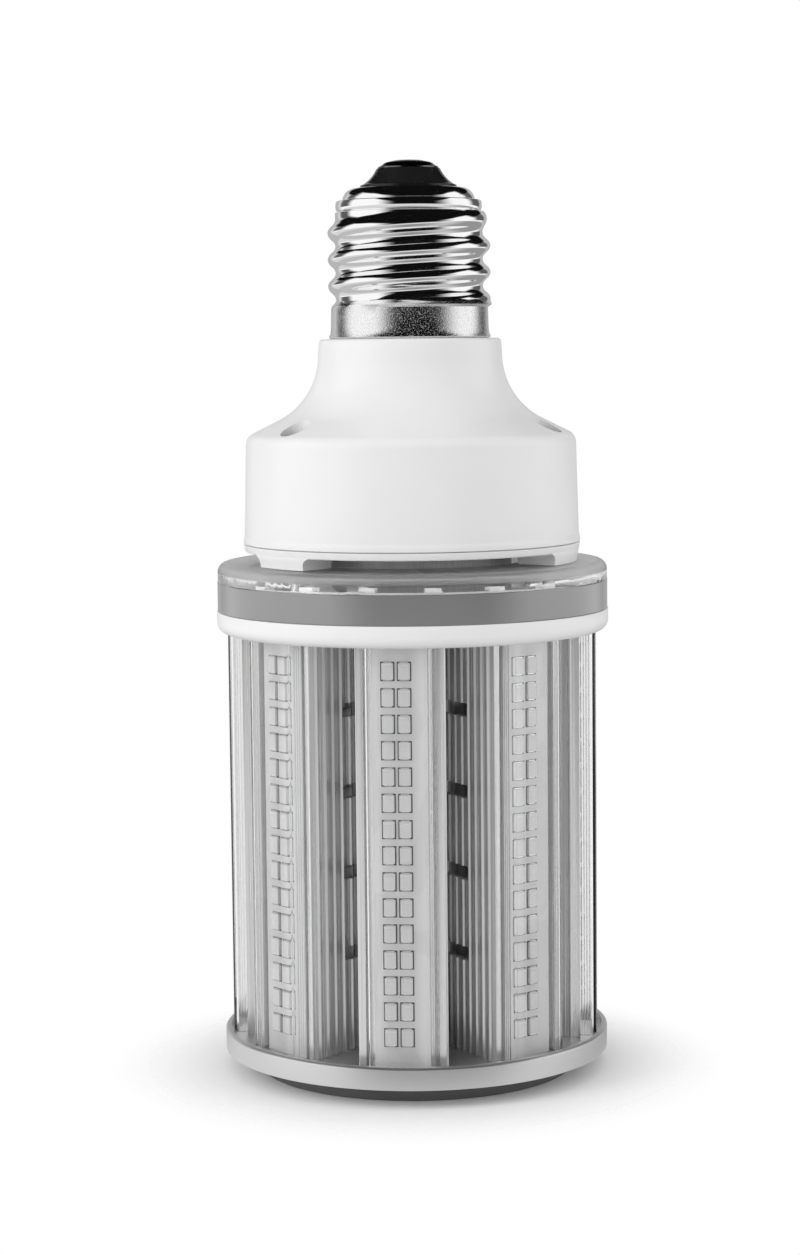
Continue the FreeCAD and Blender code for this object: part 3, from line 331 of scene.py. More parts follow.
def solder_mask(name, level, tint=(1.0, 1.0, 1.0)):
    """Printed circuit board: mask over copper, which shows as faint fields."""
    finish = Finish(name, IOR=1.5)
    weave = finish.noise(1500.0, 1500.0, 1500.0, detail=2.0)
    field = finish.noise(150.0, 150.0, 60.0, detail=0.0).between(0.47, 0.5)
    dark = tuple(level * 0.9 * part for part in tint)
    light = tuple(level * part for part in tint)
    finish.set(
        Base_Color=finish.colours(field * 0.6 + weave * 0.4, dark, light),
        Roughness=weave * 0.1 + 0.33,
    )
    finish.bump(field * 0.7 + weave * 0.3, 0.02)
    return finish.material


def plated_screw():
    """Zinc-plated screw: soft grey shine with a mottled coat."""
    finish = Finish("screw_steel", Metallic=1.0)
    cloud = finish.noise(800.0, detail=4.0)
    finish.set(
        Base_Color=finish.colours(cloud, grey(0.42), grey(0.62)),
        Roughness=cloud * 0.25 + 0.2,
    )
    finish.bump(cloud, 0.01)
    return finish.material


def coloured(name, dark, light, roughness, grains):
    """A coloured part of the driver, mottled at the size of its own grain."""
    finish = Finish(name)
    cloud = finish.noise(grains, detail=4.0)
    finish.set(
        Base_Color=finish.colours(cloud, dark, light),
        Roughness=cloud * 0.15 + roughness,
    )
    finish.bump(cloud, 0.02)
    return finish.material


# %% Make the finishes
SHELL_NICKEL = plated_shell()
INSULATOR_BLACK = glazed_black()
CONTACT_METAL = contact_metal()
HOUSING_WHITE = moulded("housing_white", 0.81, 0.30, coat=0.05)
COLLAR_WHITE = moulded("collar_white", 0.82, 0.32)
CARRIER_GREY = moulded("carrier_grey", 0.285, 0.16, coat=0.6, speckle=0.015, metal=0.42)
END_CAP_DARK = moulded("end_cap_dark", 0.10, 0.42, speckle=0.01)
LENS_TOP_FACE = 0.1212
LENS_CLEAR = clear("lens_clear", up=500.0, frost_from=LENS_TOP_FACE, frost=0.5)
# flutes sets both the relief of the flutes and their painted shade.
COVER_CLEAR = clear("cover_clear", relief=0.012, flutes=0.42)
CHANNEL_ALUMINIUM = extruded("channel_aluminium", 0.95, 0.26, 0.66, spread=0.32, lines=1300.0)
NECK_ALUMINIUM = extruded("neck_grey", 0.55, 0.5, 0.2)
RING_ALUMINIUM = turned("ring_aluminium", 0.78, 0.34, metal=0.9)
BOARD_WHITE = solder_mask("board_white", 0.92)
DRIVER_GREEN = solder_mask("driver_green", 0.5, (0.1, 0.55, 0.25))
LED_CASE = moulded("led_case", 0.95, 0.34, speckle=0.03)
LED_FACE = moulded("led_face", 0.96, 0.42, speckle=0.03)
# Painted shadow: the dark plate under each LED that draws its outline.
LED_PAINTED_SHADOW = moulded("pad_dark", 0.05, 0.45)
SOLDER = turned("solder", 0.66, 0.28, pitch=0.4)
SCREW_STEEL = plated_screw()
FERRITE_BLACK = coloured("ferrite_black", grey(0.02), grey(0.06), 0.5, 1200.0)
CAPACITOR_SLEEVE = coloured("capacitor_sleeve", (0.01, 0.01, 0.03), (0.03, 0.03, 0.07), 0.2, 300.0)
FILM_YELLOW = coloured("film_yellow", (0.55, 0.35, 0.04), (0.7, 0.48, 0.08), 0.25, 300.0)
LEAD_RED = coloured("lead_red", (0.30, 0.01, 0.01), (0.42, 0.03, 0.02), 0.4, 600.0)
LEAD_BLACK = coloured("lead_black", grey(0.015), grey(0.035), 0.4, 600.0)
made_here = [one.name for one in bpy.data.materials if not one.name.startswith("cad_")]
print(len(made_here), "finishes:", ", ".join(sorted(made_here)))

# %% [markdown]
# ## Tools for the turned pieces
# Most of this lamp is turned or moulded round one axis, so a section is drawn
# with rounded corners and spun. The section is in millimetres: radius, height
# and, where an edge is rounded, the radius of the rounding.

# %% Draw a section


def arc(start, end, radius, steps=16):
    """Points between two corners on an arc; a minus radius bulges to the left."""
    side = -1.0 if radius > 0 else 1.0
    (r0, z0), (r1, z1) = start, end
    half = math.dist(start, end) / 2
    sink = math.sqrt(radius * radius - half * half)
    along = ((r1 - r0) / (2 * half), (z1 - z0) / (2 * half))
    across = (-along[1] * side, along[0] * side)
    centre = ((r0 + r1) / 2 - across[0] * sink, (z0 + z1) / 2 - across[1] * sink)
    spread = math.asin(half / abs(radius))
    points = []
    for step in range(1, steps):
        turn = (2.0 * step / steps - 1.0) * spread
        out = abs(radius) * math.cos(turn)
        on = abs(radius) * math.sin(turn)
        radius_here = centre[0] + across[0] * out + along[0] * on
        height_here = centre[1] + across[1] * out + along[1] * on
        points.append((radius_here, height_here))
    return points


ROUNDING_STEPS = 5


def rounded(corners):
    """A closed section: each corner that names a rounding is replaced by an arc."""
    points = []
    count = len(corners)
    for index, corner in enumerate(corners):
        if len(corner) == 2:
            points.append(corner)
            continue
        here = Vector(corner[:2])
        back = Vector(corners[index - 1][:2]) - here
        on = Vector(corners[(index + 1) % count][:2]) - here
        opening = back.angle(on)
        reach = corner[2] / math.tan(opening / 2)
        reach = min(reach, 0.49 * back.length, 0.49 * on.length)
        first = here + back.normalized() * reach
        last = here + on.normalized() * reach
        bend = reach * math.tan(opening / 2)
        inwards = (back.normalized() + on.normalized()).normalized()
        middle = here + inwards * (bend / math.sin(opening / 2))
        sweep = math.pi - opening
        from_middle = first - middle
        way = 1.0 if from_middle.cross(last - middle) > 0 else -1.0
        for step in range(ROUNDING_STEPS + 1):
            spoke = Matrix.Rotation(way * sweep * step / ROUNDING_STEPS, 2) @ from_middle
            points.append(tuple(middle + spoke))
    return points


# %% Spin it and make a piece of it


def spun(section, steps=144, closed=True):
    """A mesh turned about the lamp's axis from a section."""
    bm = bmesh.new()
    ring = [bm.verts.new((radius * MM, 0.0, height * MM)) for radius, height in section]
    ends = ring[1:] + ring[:1] if closed else ring[1:]
    edges = [bm.edges.new(pair) for pair in zip(ring, ends)]
    bmesh.ops.spin(
        bm,
        geom=ring + edges,
        cent=(0, 0, 0),
        axis=(0, 0, 1),
        dvec=(0, 0, 0),
        angle=2 * math.pi,
        steps=steps,
        use_merge=True,
        use_duplicate=False,
    )
    bmesh.ops.remove_doubles(bm, verts=bm.verts, dist=1e-7)
    bmesh.ops.recalc_face_normals(bm, faces=bm.faces)
    return bm


def piece(name, bm, finishes, stands_for, sharp=32.0):
    """An object that stands for a CAD node: finishes, smooth faces, sharp edges."""
    mesh = bpy.data.meshes.new(name)
    bm.to_mesh(mesh)
    bm.free()
    for finish in finishes:
        mesh.materials.append(finish)
    mesh.shade_smooth()
    mesh.set_sharp_from_angle(angle=math.radians(sharp))
    print(f"{name}: {len(mesh.polygons)} faces")
    made = bpy.data.objects.new(name, mesh)
    bpy.context.scene.collection.objects.link(made)
    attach(made, "root")
    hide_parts(stands_for)
    return made


def apply_tool(made, tool_mesh, operation):
    """Takes the shape of a tool out of a piece, or joins it on, for good."""
    tool = bpy.data.objects.new("tool", bpy.data.meshes.new("tool"))
    tool_mesh.to_mesh(tool.data)
    tool_mesh.free()
    bpy.context.scene.collection.objects.link(tool)
    step = made.modifiers.new("tool", "BOOLEAN")
    step.operation = operation
    step.solver = "EXACT"
    step.object = tool
    bpy.context.view_layer.update()
    whole = made.evaluated_get(bpy.context.evaluated_depsgraph_get())
    result = bpy.data.meshes.new_from_object(whole)
    made.modifiers.remove(step)
    made.data = result
    bpy.data.objects.remove(tool)


HARD_ANGLE = math.radians(35.0)
FLAT_ANGLE = math.radians(0.5)


def merged(node, edge):
    """A copy of a CAD node's mesh with its seams merged and its edges eased."""
    bm = bmesh.new()
    bm.from_mesh(nodes[node].data)
    bmesh.ops.remove_doubles(bm, verts=bm.verts, dist=1e-6)
    bmesh.ops.dissolve_limit(
        bm,
        angle_limit=FLAT_ANGLE,
        use_dissolve_boundaries=False,
        verts=bm.verts,
        edges=bm.edges,
    )
    between_two = [side for side in bm.edges if len(side.link_faces) == 2]
    hard = [side for side in between_two if side.calc_face_angle() > HARD_ANGLE]
    bmesh.ops.bevel(
        bm,
        geom=hard,
        offset=edge * MM,
        offset_type="OFFSET",
        affect="EDGES",
        segments=2,
        profile=0.5,
        clamp_overlap=True,
        material=-1,
    )
    return bm


def around(radius, degrees, height):
    """A point at a turn from the front, towards the lamp's right."""
    turn = math.radians(degrees)
    return Vector((radius * math.sin(turn), -radius * math.cos(turn), height)) * MM


# %% [markdown]
# ## The screw cap
# The shell is thin brass rolled between two knurls, so inside and outside both
# follow the same soft wave. A plain tube is spun and each point is pushed out
# by the height of the thread where it stands. The wave climbs one pitch a turn.
# It fades in over a third of a turn and out over half a turn.

# %% Roll the shell
SHELL_FOOT = 177.4
WALL_FOOT = 9.2
WALL_TOP = 30.1
WALL_RISE = 20.9
THREAD_START = SHELL_FOOT + 9.4
PITCH = 6.35
TURNS = 20.6 / PITCH
FADE_IN_FROM = -0.45
FADE_IN = 0.3
FADE_OUT = 0.5
FADE_OUT_TO = TURNS + 0.02
ROOT = 17.7
INNER_WALL = 17.0
KNUCKLE = 1.85
OUTER_ROWS = 110
INNER_ROWS = 40


def eased(value):
    """A soft step from 0 to 1."""
    value = min(max(value, 0.0), 1.0)
    return value * value * (3.0 - 2.0 * value)


def round_knuckle(away):
    """Knuckle of two equal arcs: its height so many millimetres from the crest."""
    quarter = PITCH / 4.0
    bend = (quarter * quarter + KNUCKLE * KNUCKLE / 4.0) / KNUCKLE
    from_end = min(away, PITCH / 2.0 - away)
    drop = (bend - math.sqrt(bend * bend - from_end * from_end)) / KNUCKLE
    return 1.0 - drop if away < quarter else drop


def thread_height(angle, height):
    """How far the thread stands out, as a part of its full height.

    The wave is half a cosine and half a knuckle of arcs.
    """
    climbed = (height - THREAD_START) / PITCH
    turn = angle / (2.0 * math.pi)
    ridge = round(climbed - turn)
    along = turn + ridge
    off = climbed - along
    fade = eased((along - FADE_IN_FROM) / FADE_IN) * eased((FADE_OUT_TO - along) / FADE_OUT)
    wave = 0.5 + 0.5 * math.cos(2.0 * math.pi * off)
    return fade * (wave + round_knuckle(abs(off) * PITCH)) / 2.0


# %% Spin the shell and push its thread out


def shell_section():
    """Outer line of the shell from its foot to its mouth, and back down inside."""
    foot, top = SHELL_FOOT, SHELL_FOOT + 30.4
    outside = [(19.1, foot), (19.4, foot + 0.2), (19.52, foot + 0.45), (19.4, foot + 0.75)]
    outside += [(19.15, foot + 1.3), (19.0, foot + 2.6), (18.93, foot + 5.4), (18.9, foot + 7.4)]
    outside += [(18.6, foot + 8.0), (18.1, foot + 8.5), (ROOT, foot + 9.0)]
    for row in range(OUTER_ROWS + 1):
        outside.append((ROOT, foot + WALL_FOOT + (WALL_RISE * row) / OUTER_ROWS))
    outside += [(ROOT - 0.3, foot + 30.2), (ROOT - 0.7, top - 0.1), (ROOT - 0.6, top + 0.1)]
    outside += [(ROOT - 0.3, top + 0.2)]
    outside += arc((ROOT - 0.3, top + 0.2), (ROOT - 0.3, top + 2.35), 3.2, 12)
    outside += [(ROOT - 0.3, top + 2.35), (ROOT - 0.6, top + 2.5), (ROOT - 1.3, top + 2.55)]
    outside += [(ROOT - 1.9, top + 2.7), (ROOT - 1.85, top + 2.9)]
    outside += arc((ROOT - 1.85, top + 2.9), (13.2, top + 5.45), 3.0, 12)
    outside += [(13.2, top + 5.45), (12.3, top + 5.6), (11.75, top + 5.7), (11.6, top + 5.65)]
    inside = [(11.62, top + 5.2), (12.8, top + 5.0), (14.2, top + 4.5), (14.9, top + 3.4)]
    inside += [(15.0, top + 2.2), (16.3, top + 1.7), (16.6, top)]
    for row in range(INNER_ROWS + 1):
        inside.append((INNER_WALL, foot + WALL_TOP - (WALL_RISE * row) / INNER_ROWS))
    inside += [(17.4, foot + 8.4), (18.2, foot + 7.4), (18.8, foot)]
    return outside + inside


ROLLED_FROM = SHELL_FOOT + 7.6
ROLLED_TO = SHELL_FOOT + 30.35
shell = spun(shell_section(), steps=240)
for point in shell.verts:
    height = point.co.z / MM
    if ROLLED_FROM < height < ROLLED_TO:
        lift = thread_height(math.atan2(point.co.y, point.co.x) % (2.0 * math.pi), height)
        spoke = Vector((point.co.x, point.co.y, 0.0))
        point.co += spoke.normalized() * (lift * KNUCKLE * MM)
piece("screw_shell_rolled", shell, [SHELL_NICKEL], "screw_shell")

# %% [markdown]
# ## Insulator and centre contact
# Black glass fills the mouth of the shell and the contact is riveted over it.
# Both are spun with rounded edges, because their thin white rim lights in the
# photograph come from those roundings.

# %% Spin the insulator and the contact
GLASS_FOOT = 213.6
glass_corners = [
    (2.2, GLASS_FOOT - 4.0),
    (10.9, GLASS_FOOT - 4.0),
    (11.6, GLASS_FOOT - 2.0),
    (11.6, GLASS_FOOT + 0.35, 0.2),
    (10.9, GLASS_FOOT + 0.6, 0.2),
    *arc((10.7, GLASS_FOOT + 0.75), (7.75, GLASS_FOOT + 4.1), -8.5, 10),
    (7.6, GLASS_FOOT + 4.35, 0.1),
    (7.3, GLASS_FOOT + 4.35, 0.1),
    (7.3, GLASS_FOOT + 3.3),
    (2.2, GLASS_FOOT + 3.3),
]
glass = spun(rounded(glass_corners))
piece("cap_insulator_glazed", glass, [INSULATOR_BLACK], "cap_insulator")

CONTACT_FOOT = 216.9
contact_corners = [
    (0.0, CONTACT_FOOT + 3.08),
    (3.2, CONTACT_FOOT + 2.98, 4.0),
    (5.7, CONTACT_FOOT + 2.45, 2.0),
    (6.6, CONTACT_FOOT + 1.65, 0.5),
    (7.25, CONTACT_FOOT + 1.45, 0.2),
    (7.25, CONTACT_FOOT, 0.1),
    (2.2, CONTACT_FOOT),
    (2.2, CONTACT_FOOT - 7.3, 0.3),
    (0.0, CONTACT_FOOT - 7.3),
]
contact = spun(rounded(contact_corners), steps=96, closed=False)
piece("centre_contact_riveted", contact, [CONTACT_METAL], "centre_contact")

# %% [markdown]
# ## The driver housing
# One white moulding: a bell with a rounded shoulder, a hollow flare and an
# upright edge under the shell. The section is spun and three round wells are
# cut down to the heads of the long screws.

# %% Spin the housing and cut its wells
HOUSING_FOOT = 128.4


def housing_section():
    """Outside of the bell and back along its inner wall."""
    shoulder = arc((39.9, HOUSING_FOOT + 23.8), (38.24, HOUSING_FOOT + 26.48), 3.0, 10)
    flare = arc((31.9, HOUSING_FOOT + 29.65), (22.2, HOUSING_FOOT + 45.3), -17.475, 28)
    inner_flare = arc((20.2, HOUSING_FOOT + 45.3), (30.57, HOUSING_FOOT + 27.65), 20.2, 16)
    corners = [
        (38.4, HOUSING_FOOT),
        (40.0, HOUSING_FOOT),
        (40.45, HOUSING_FOOT + 0.12, 0.05),
        (40.78, HOUSING_FOOT + 0.25, 0.15),
        (40.72, HOUSING_FOOT + 1.2, 1.0),
        (40.48, HOUSING_FOOT + 2.0, 1.5),
        (39.9, HOUSING_FOOT + 23.8),
        *shoulder,
        (38.24, HOUSING_FOOT + 26.48),
        (31.9, HOUSING_FOOT + 29.65, 1.2),
        *flare,
        (22.2, HOUSING_FOOT + 45.3),
        (21.9, HOUSING_FOOT + 49.0, 0.9),
        (16.85, HOUSING_FOOT + 49.0),
        (16.85, HOUSING_FOOT + 47.0),
        (20.2, HOUSING_FOOT + 45.3),
        *inner_flare,
        (30.57, HOUSING_FOOT + 27.65),
        (34.87, HOUSING_FOOT + 25.5),
        (37.9, HOUSING_FOOT + 23.0),
    ]
    return rounded(corners)


def upright_tools(radius, foot, top, circle, turns):
    """Round tools that stand on a circle about the axis."""
    bm = bmesh.new()
    for turn in turns:
        place = Matrix.Translation(around(circle, turn, (foot + top) / 2))
        bmesh.ops.create_cone(
            bm,
            cap_ends=True,
            segments=32,
            radius1=radius * MM,
            radius2=radius * MM,
            depth=(top - foot) * MM,
            matrix=place,
        )
    return bm


LEG_TURNS = (68.5, 188.5, 308.5)
WELL_CIRCLE = 34.6
WELL_RADIUS = 3.6
WELL_FLOOR = HOUSING_FOOT + 19.4
OVER_HOUSING = HOUSING_FOOT + 60.0
bell = spun(housing_section(), steps=180)
housing = piece("driver_housing_moulded", bell, [HOUSING_WHITE], "driver_housing")
wells = upright_tools(WELL_RADIUS, WELL_FLOOR, OVER_HOUSING, WELL_CIRCLE, LEG_TURNS)
apply_tool(housing, wells, "DIFFERENCE")
print("housing with its wells:", len(housing.data.polygons), "faces")

# %% [markdown]
# ## The LEDs
# An LED is a white case with a sunk window full of phosphor and solder at both
# ends. A thin dark plate under the case, a little wider and set a little down the
# strip, is painted shadow round its edges. One is modelled with a few dozen faces,
# then set down along every strip.

# %% Model one LED and set out the rows
CASE_WIDTH = 2.7
CASE_LENGTH = 3.7
CASE_HEIGHT = 0.8
DIVIDE = 1.2
WINDOW_FRAME = 0.16
WINDOW_DEPTH = 0.10
SOLDER_AT = 1.98


def box(bm, width, length, low, high, middle=0.0):
    """A block between two heights, its middle so far up the strip."""
    place = Matrix.Translation(Vector((0, middle, (low + high) / 2)) * MM)
    size = Matrix.Diagonal((width * MM, length * MM, (high - low) * MM, 1.0))
    made = bmesh.ops.create_cube(bm, size=1.0, matrix=place @ size)
    return list({face for vertex in made["verts"] for face in vertex.link_faces})


def led_mesh():
    """One LED lying on z = 0, its long side along y, as a mesh of four finishes."""
    bm = bmesh.new()
    case = box(bm, CASE_WIDTH, CASE_LENGTH, 0.0, CASE_HEIGHT)
    edges = list({edge for face in case for edge in face.edges})
    bmesh.ops.bisect_plane(bm, geom=case + edges, plane_co=(0, DIVIDE * MM, 0), plane_no=(0, 1, 0))
    tops = [face for face in bm.faces if face.normal.z > 0.9]
    bmesh.ops.inset_individual(
        bm, faces=tops, thickness=WINDOW_FRAME * MM, depth=-WINDOW_DEPTH * MM
    )
    for face in tops:
        face.material_index = LED_FINISHES.index(LED_FACE)
    # A dark plate wider than the case, set down the strip: painted shadow round the LED.
    for face in box(bm, 3.35, 4.5, 0.0, 0.05, -0.05):
        face.material_index = LED_FINISHES.index(LED_PAINTED_SHADOW)
    for side in (-1.0, 1.0):
        for face in box(bm, 2.0, 0.3, 0.0, 0.35, side * SOLDER_AT):
            face.material_index = LED_FINISHES.index(SOLDER)
    mesh = bpy.data.meshes.new("led")
    bm.to_mesh(mesh)
    bm.free()
    print("one LED:", len(mesh.polygons), "faces")
    return mesh


def set_out(mesh, places):
    """Copies of a mesh, one for each place."""
    bm = bmesh.new()
    for place in places:
        before = len(bm.verts)
        bm.from_mesh(mesh)
        bm.verts.ensure_lookup_table()
        bmesh.ops.transform(bm, matrix=place, verts=bm.verts[before:])
    return bm


LED_FINISHES = [LED_CASE, LED_FACE, SOLDER, LED_PAINTED_SHADOW]
CHANNEL_FOOT = 8.6
CHANNEL_LENGTH = 98.4
BOARD_FACE = 39.4 + 1.0
FIRST_STRIP_TURN = -4.8
ROWS = 15
UNDER_ROWS = 7.1
OVER_ROWS = 5.6
COLUMNS = (-1.925 - 0.8, 1.925 - 0.8)
led = led_mesh()
for strip in STRIPS:
    turn = math.radians(FIRST_STRIP_TURN + (strip - 1) * 360.0 / len(STRIPS))
    upright = Matrix.Rotation(turn, 4, "Z") @ Matrix.Rotation(math.radians(90.0), 4, "X")
    places = []
    for row in range(ROWS):
        climb = row * (CHANNEL_LENGTH - UNDER_ROWS - OVER_ROWS) / (ROWS - 1)
        for column in COLUMNS:
            spot = Vector((column, CHANNEL_FOOT + UNDER_ROWS + climb, BOARD_FACE)) * MM
            places.append(upright @ Matrix.Translation(spot))
    node = f"strip_leds_{strip}"
    piece(f"{node}_soldered", set_out(led, places), LED_FINISHES, node)

UPLIGHTS = 18
FIRST_UPLIGHT_TURN = 6.0
UPLIGHT_CIRCLE = 42.4
UPLIGHT_FACE = 120.0
places = []
for number in range(UPLIGHTS):
    turn = math.radians(FIRST_UPLIGHT_TURN + number * 360.0 / UPLIGHTS)
    place = Matrix.Rotation(turn, 4, "Z")
    place = place @ Matrix.Translation(Vector((0, -UPLIGHT_CIRCLE, UPLIGHT_FACE)) * MM)
    places.append(place @ Matrix.Rotation(math.radians(90.0), 4, "Z"))
piece("uplight_leds_soldered", set_out(led, places), LED_FINISHES, "uplight_leds")

# %% [markdown]
# ## Extruded, turned and moulded pieces with plain edges
# The CAD mesh of these pieces already has the right shape, holes included. A
# copy is merged and its hard edges are eased, so that they catch a thin light.
# The flat faces stay sharp against the eased edge: smoothed together, their
# shading would tip over the whole face and a clear cover would bend its view.

# %% Ease the edges of the other visible pieces
# CAD node, finish, material slot and how far the edges are eased, in millimetres.
PLAIN = [
    ("end_cap", END_CAP_DARK, "end_cap_dark", 0.25),
    ("base_ring", RING_ALUMINIUM, "ring_aluminium", 0.12),
    ("upper_collar", COLLAR_WHITE, "collar_white", 0.2),
    ("carrier_ring", CARRIER_GREY, "carrier_grey", 0.25),
    ("uplight_board", BOARD_WHITE, "board_white", 0.05),
    ("uplight_lens", LENS_CLEAR, "lens_clear", 0.12),
    ("neck_tube", NECK_ALUMINIUM, "neck_grey", 0.1),
]
for strip in STRIPS:
    PLAIN.append((f"channel_{strip}", CHANNEL_ALUMINIUM, "channel_aluminium", 0.06))
    PLAIN.append((f"strip_board_{strip}", BOARD_WHITE, "board_white", 0.05))
    PLAIN.append((f"strip_cover_{strip}", COVER_CLEAR, "cover_clear", 0.08))
for node, finish, slot, edge in PLAIN:
    piece(f"{node}_eased", merged(node, edge), [finish], node, sharp=25.0)

# %% [markdown]
# ## The base of the housing
# A rim plate on three legs, moulded in one. Each leg runs into the rim with a
# fillet, so a block is bent round the axis, widened towards its top and joined
# to the spun rim. Three posts on the rim carry the driver's board, and the long
# screws pass down through the legs.

# %% Mould the housing base
BASE_FOOT = 123.9
RIM_FOOT = 126.6
RIM_INNER = 22.8
LEG_HALF_ANGLE = math.radians(12.0)
LEG_INNER = 30.0
LEG_OUTER = 40.1
LEG_SLOPE = 0.4
LEG_RISE = 2.7
LEG_CIRCLE = 38.0
LEG_TOP = HOUSING_FOOT - 0.1
LEG_FILLET = 1.9
POST_RADIUS = 1.6
POST_HEIGHT = 4.0
POST_CIRCLE = 25.6
POST_TURNS = (0.0, 120.0, 240.0)
HOLE_RADIUS = 1.7


def fillet_reach(below):
    """How far a fillet reaches sideways so far below the plate."""
    left = max(LEG_FILLET - below, 0.0)
    return LEG_FILLET - math.sqrt(LEG_FILLET * LEG_FILLET - left * left)


def add_leg(bm, turn):
    """A block of the mesh bent into a leg that ends inside the rim."""
    before = len(bm.verts)
    bmesh.ops.create_cube(bm, size=2.0)
    bm.verts.ensure_lookup_table()
    block = bm.verts[before:]
    edges = list({edge for vertex in block for edge in vertex.link_edges})
    bmesh.ops.subdivide_edges(bm, edges=edges, cuts=11, use_grid_fill=True)
    bm.verts.ensure_lookup_table()
    for vertex in bm.verts[before:]:
        across, out, up = vertex.co
        height = BASE_FOOT + (up + 1.0) / 2.0 * (LEG_TOP - BASE_FOOT)
        widened = fillet_reach(max(RIM_FOOT - height, 0.0))
        inner = LEG_INNER - widened
        outer = LEG_OUTER + LEG_SLOPE * eased((height - BASE_FOOT) / LEG_RISE)
        radius = inner + (out + 1.0) / 2.0 * (outer - inner)
        angle = math.radians(turn) + across * (LEG_HALF_ANGLE + widened / LEG_CIRCLE)
        vertex.co = (radius * MM * math.sin(angle), -radius * MM * math.cos(angle), height * MM)


rim_corners = [
    (RIM_INNER, RIM_FOOT),
    (40.45, RIM_FOOT, 0.5),
    (40.72, LEG_TOP, 0.1),
    (40.3, HOUSING_FOOT),
    (RIM_INNER, HOUSING_FOOT),
]
rim = spun(rounded(rim_corners), steps=180)
base = piece("housing_base_moulded", rim, [HOUSING_WHITE], "housing_base")
legs = bmesh.new()
for turn in LEG_TURNS:
    add_leg(legs, turn)
bmesh.ops.recalc_face_normals(legs, faces=legs.faces)
posts = upright_tools(
    POST_RADIUS, HOUSING_FOOT - 0.5, HOUSING_FOOT + POST_HEIGHT, POST_CIRCLE, POST_TURNS
)
holes = upright_tools(HOLE_RADIUS, BASE_FOOT - 1.0, HOUSING_FOOT + 1.0, WELL_CIRCLE, LEG_TURNS)
apply_tool(base, legs, "UNION")
apply_tool(base, posts, "UNION")
apply_tool(base, holes, "DIFFERENCE")
base.data.shade_smooth()
base.data.set_sharp_from_angle(angle=math.radians(38.0))
print("housing base:", len(base.data.polygons), "faces")

# %% [markdown]
# ## The pieces inside
# The driver and its wires are closed in by the housing. Their CAD shapes stay,
# and each has its own finish.

# %% Finish the inner pieces
INNER = {
    "end_cap_screws": SCREW_STEEL,
    "strip_screws": SCREW_STEEL,
    "housing_screws": SCREW_STEEL,
    "cap_neck": HOUSING_WHITE,
    "driver_board": DRIVER_GREEN,
    "transformer": FERRITE_BLACK,
    "filter_choke": FERRITE_BLACK,
    "smoothing_capacitor": CAPACITOR_SLEEVE,
    "film_capacitor": FILM_YELLOW,
    "live_lead": LEAD_RED,
    "neutral_lead": LEAD_BLACK,
    "output_leads": LEAD_RED,
}
for node, finish in INNER.items():
    nodes[node].data.materials.clear()
    nodes[node].data.materials.append(finish)
print(len(INNER), "inner pieces finished")

# %% [markdown]
# ## Stage and light
# The lamp stands on a pale floor that fades into a white surround. Shiny metal
# is only as good as what it mirrors, so black flags hang in that white: in
# front, on each flank, behind, overhead and thinner ones below. They are parts
# of one big sphere that only reflections see. Its other parts are see-through.

# %% Finish the floor and the flags


def staged(name, bm, finish):
    """A stage piece from a bmesh."""
    mesh = bpy.data.meshes.new(name)
    bm.to_mesh(mesh)
    bm.free()
    mesh.materials.append(finish)
    made = bpy.data.objects.new(name, mesh)
    bpy.context.scene.collection.objects.link(made)
    return made


FLOOR_FADE_FROM = 0.040
FLOOR_FADE_TO = 0.078


def floor_finish():
    """Pale floor that fades out away from the lamp."""
    finish = Finish("floor_pale", Roughness=0.6)
    cloud = finish.noise(3.0)
    finish.set(Base_Color=finish.colours(cloud, grey(0.95), grey(0.97)))
    finish.see_through(finish.axis_radius().between(FLOOR_FADE_FROM, FLOOR_FADE_TO))
    return finish.material


def flag_finish(level):
    """Black flags of the studio, by turn and by rise as seen from the cap.

    Every flag is a window of degrees with soft edges, and the darkest one counts.
    """
    finish = Finish("flag_black", Roughness=0.9, Specular_IOR_Level=0.0)
    finish.set(Base_Color=finish.colours(finish.noise(4.0), grey(0.004), grey(0.008)))
    turn = finish.turn()
    rise = finish.rise(level)
    front = turn.between(-54.0, -20.0) * turn.between(78.0, 38.0) * rise.between(-12.0, -7.0)
    level_up = rise.between(-5.0, -2.5) * 0.9
    left = turn.between(-146.0, -126.0) * turn.between(-98.0, -114.0) * level_up
    right = turn.between(106.0, 124.0) * turn.between(158.0, 142.0) * level_up
    away = turn.maths("ABSOLUTE")
    rear = away.between(104.0, 118.0) * rise.between(17.0, 25.0)
    beyond = away.between(128.0, 150.0) * 0.52
    beside = (turn - 10.0).maths("ABSOLUTE")
    canopy = (rise - beside.between(14.0, 86.0, 2.0, 36.0)).between(0.0, 7.0)
    under = rise.between(-8.0, -14.0) * turn.between(50.0, 110.0, 0.30, 0.70)
    deep = rise.between(-20.0, -32.0) * beside.between(6.0, 60.0, 0.72, 0.48)
    flag = front.maths("MAXIMUM", left).maths("MAXIMUM", right)
    for other in (rear, beyond, canopy, under, deep):
        flag = flag.maths("MAXIMUM", other)
    finish.see_through(1.0 - flag)
    return finish.material


# %% Build the stage
floor = bmesh.new()
bmesh.ops.create_grid(floor, x_segments=1, y_segments=1, size=1.0)
staged("floor", floor, floor_finish())

FLAG_LEVEL = 0.19
FLAG_DISTANCE = 1.5
surround = bmesh.new()
bmesh.ops.create_uvsphere(
    surround,
    u_segments=48,
    v_segments=24,
    radius=FLAG_DISTANCE,
    matrix=Matrix.Translation((0, 0, FLAG_LEVEL)),
)
flags = staged("flags", surround, flag_finish(FLAG_LEVEL))
flags.visible_camera = False
flags.visible_diffuse = False
flags.visible_transmission = False
flags.visible_shadow = False
flags.visible_volume_scatter = False
print("floor and flags staged, the flags", FLAG_DISTANCE, "m away")

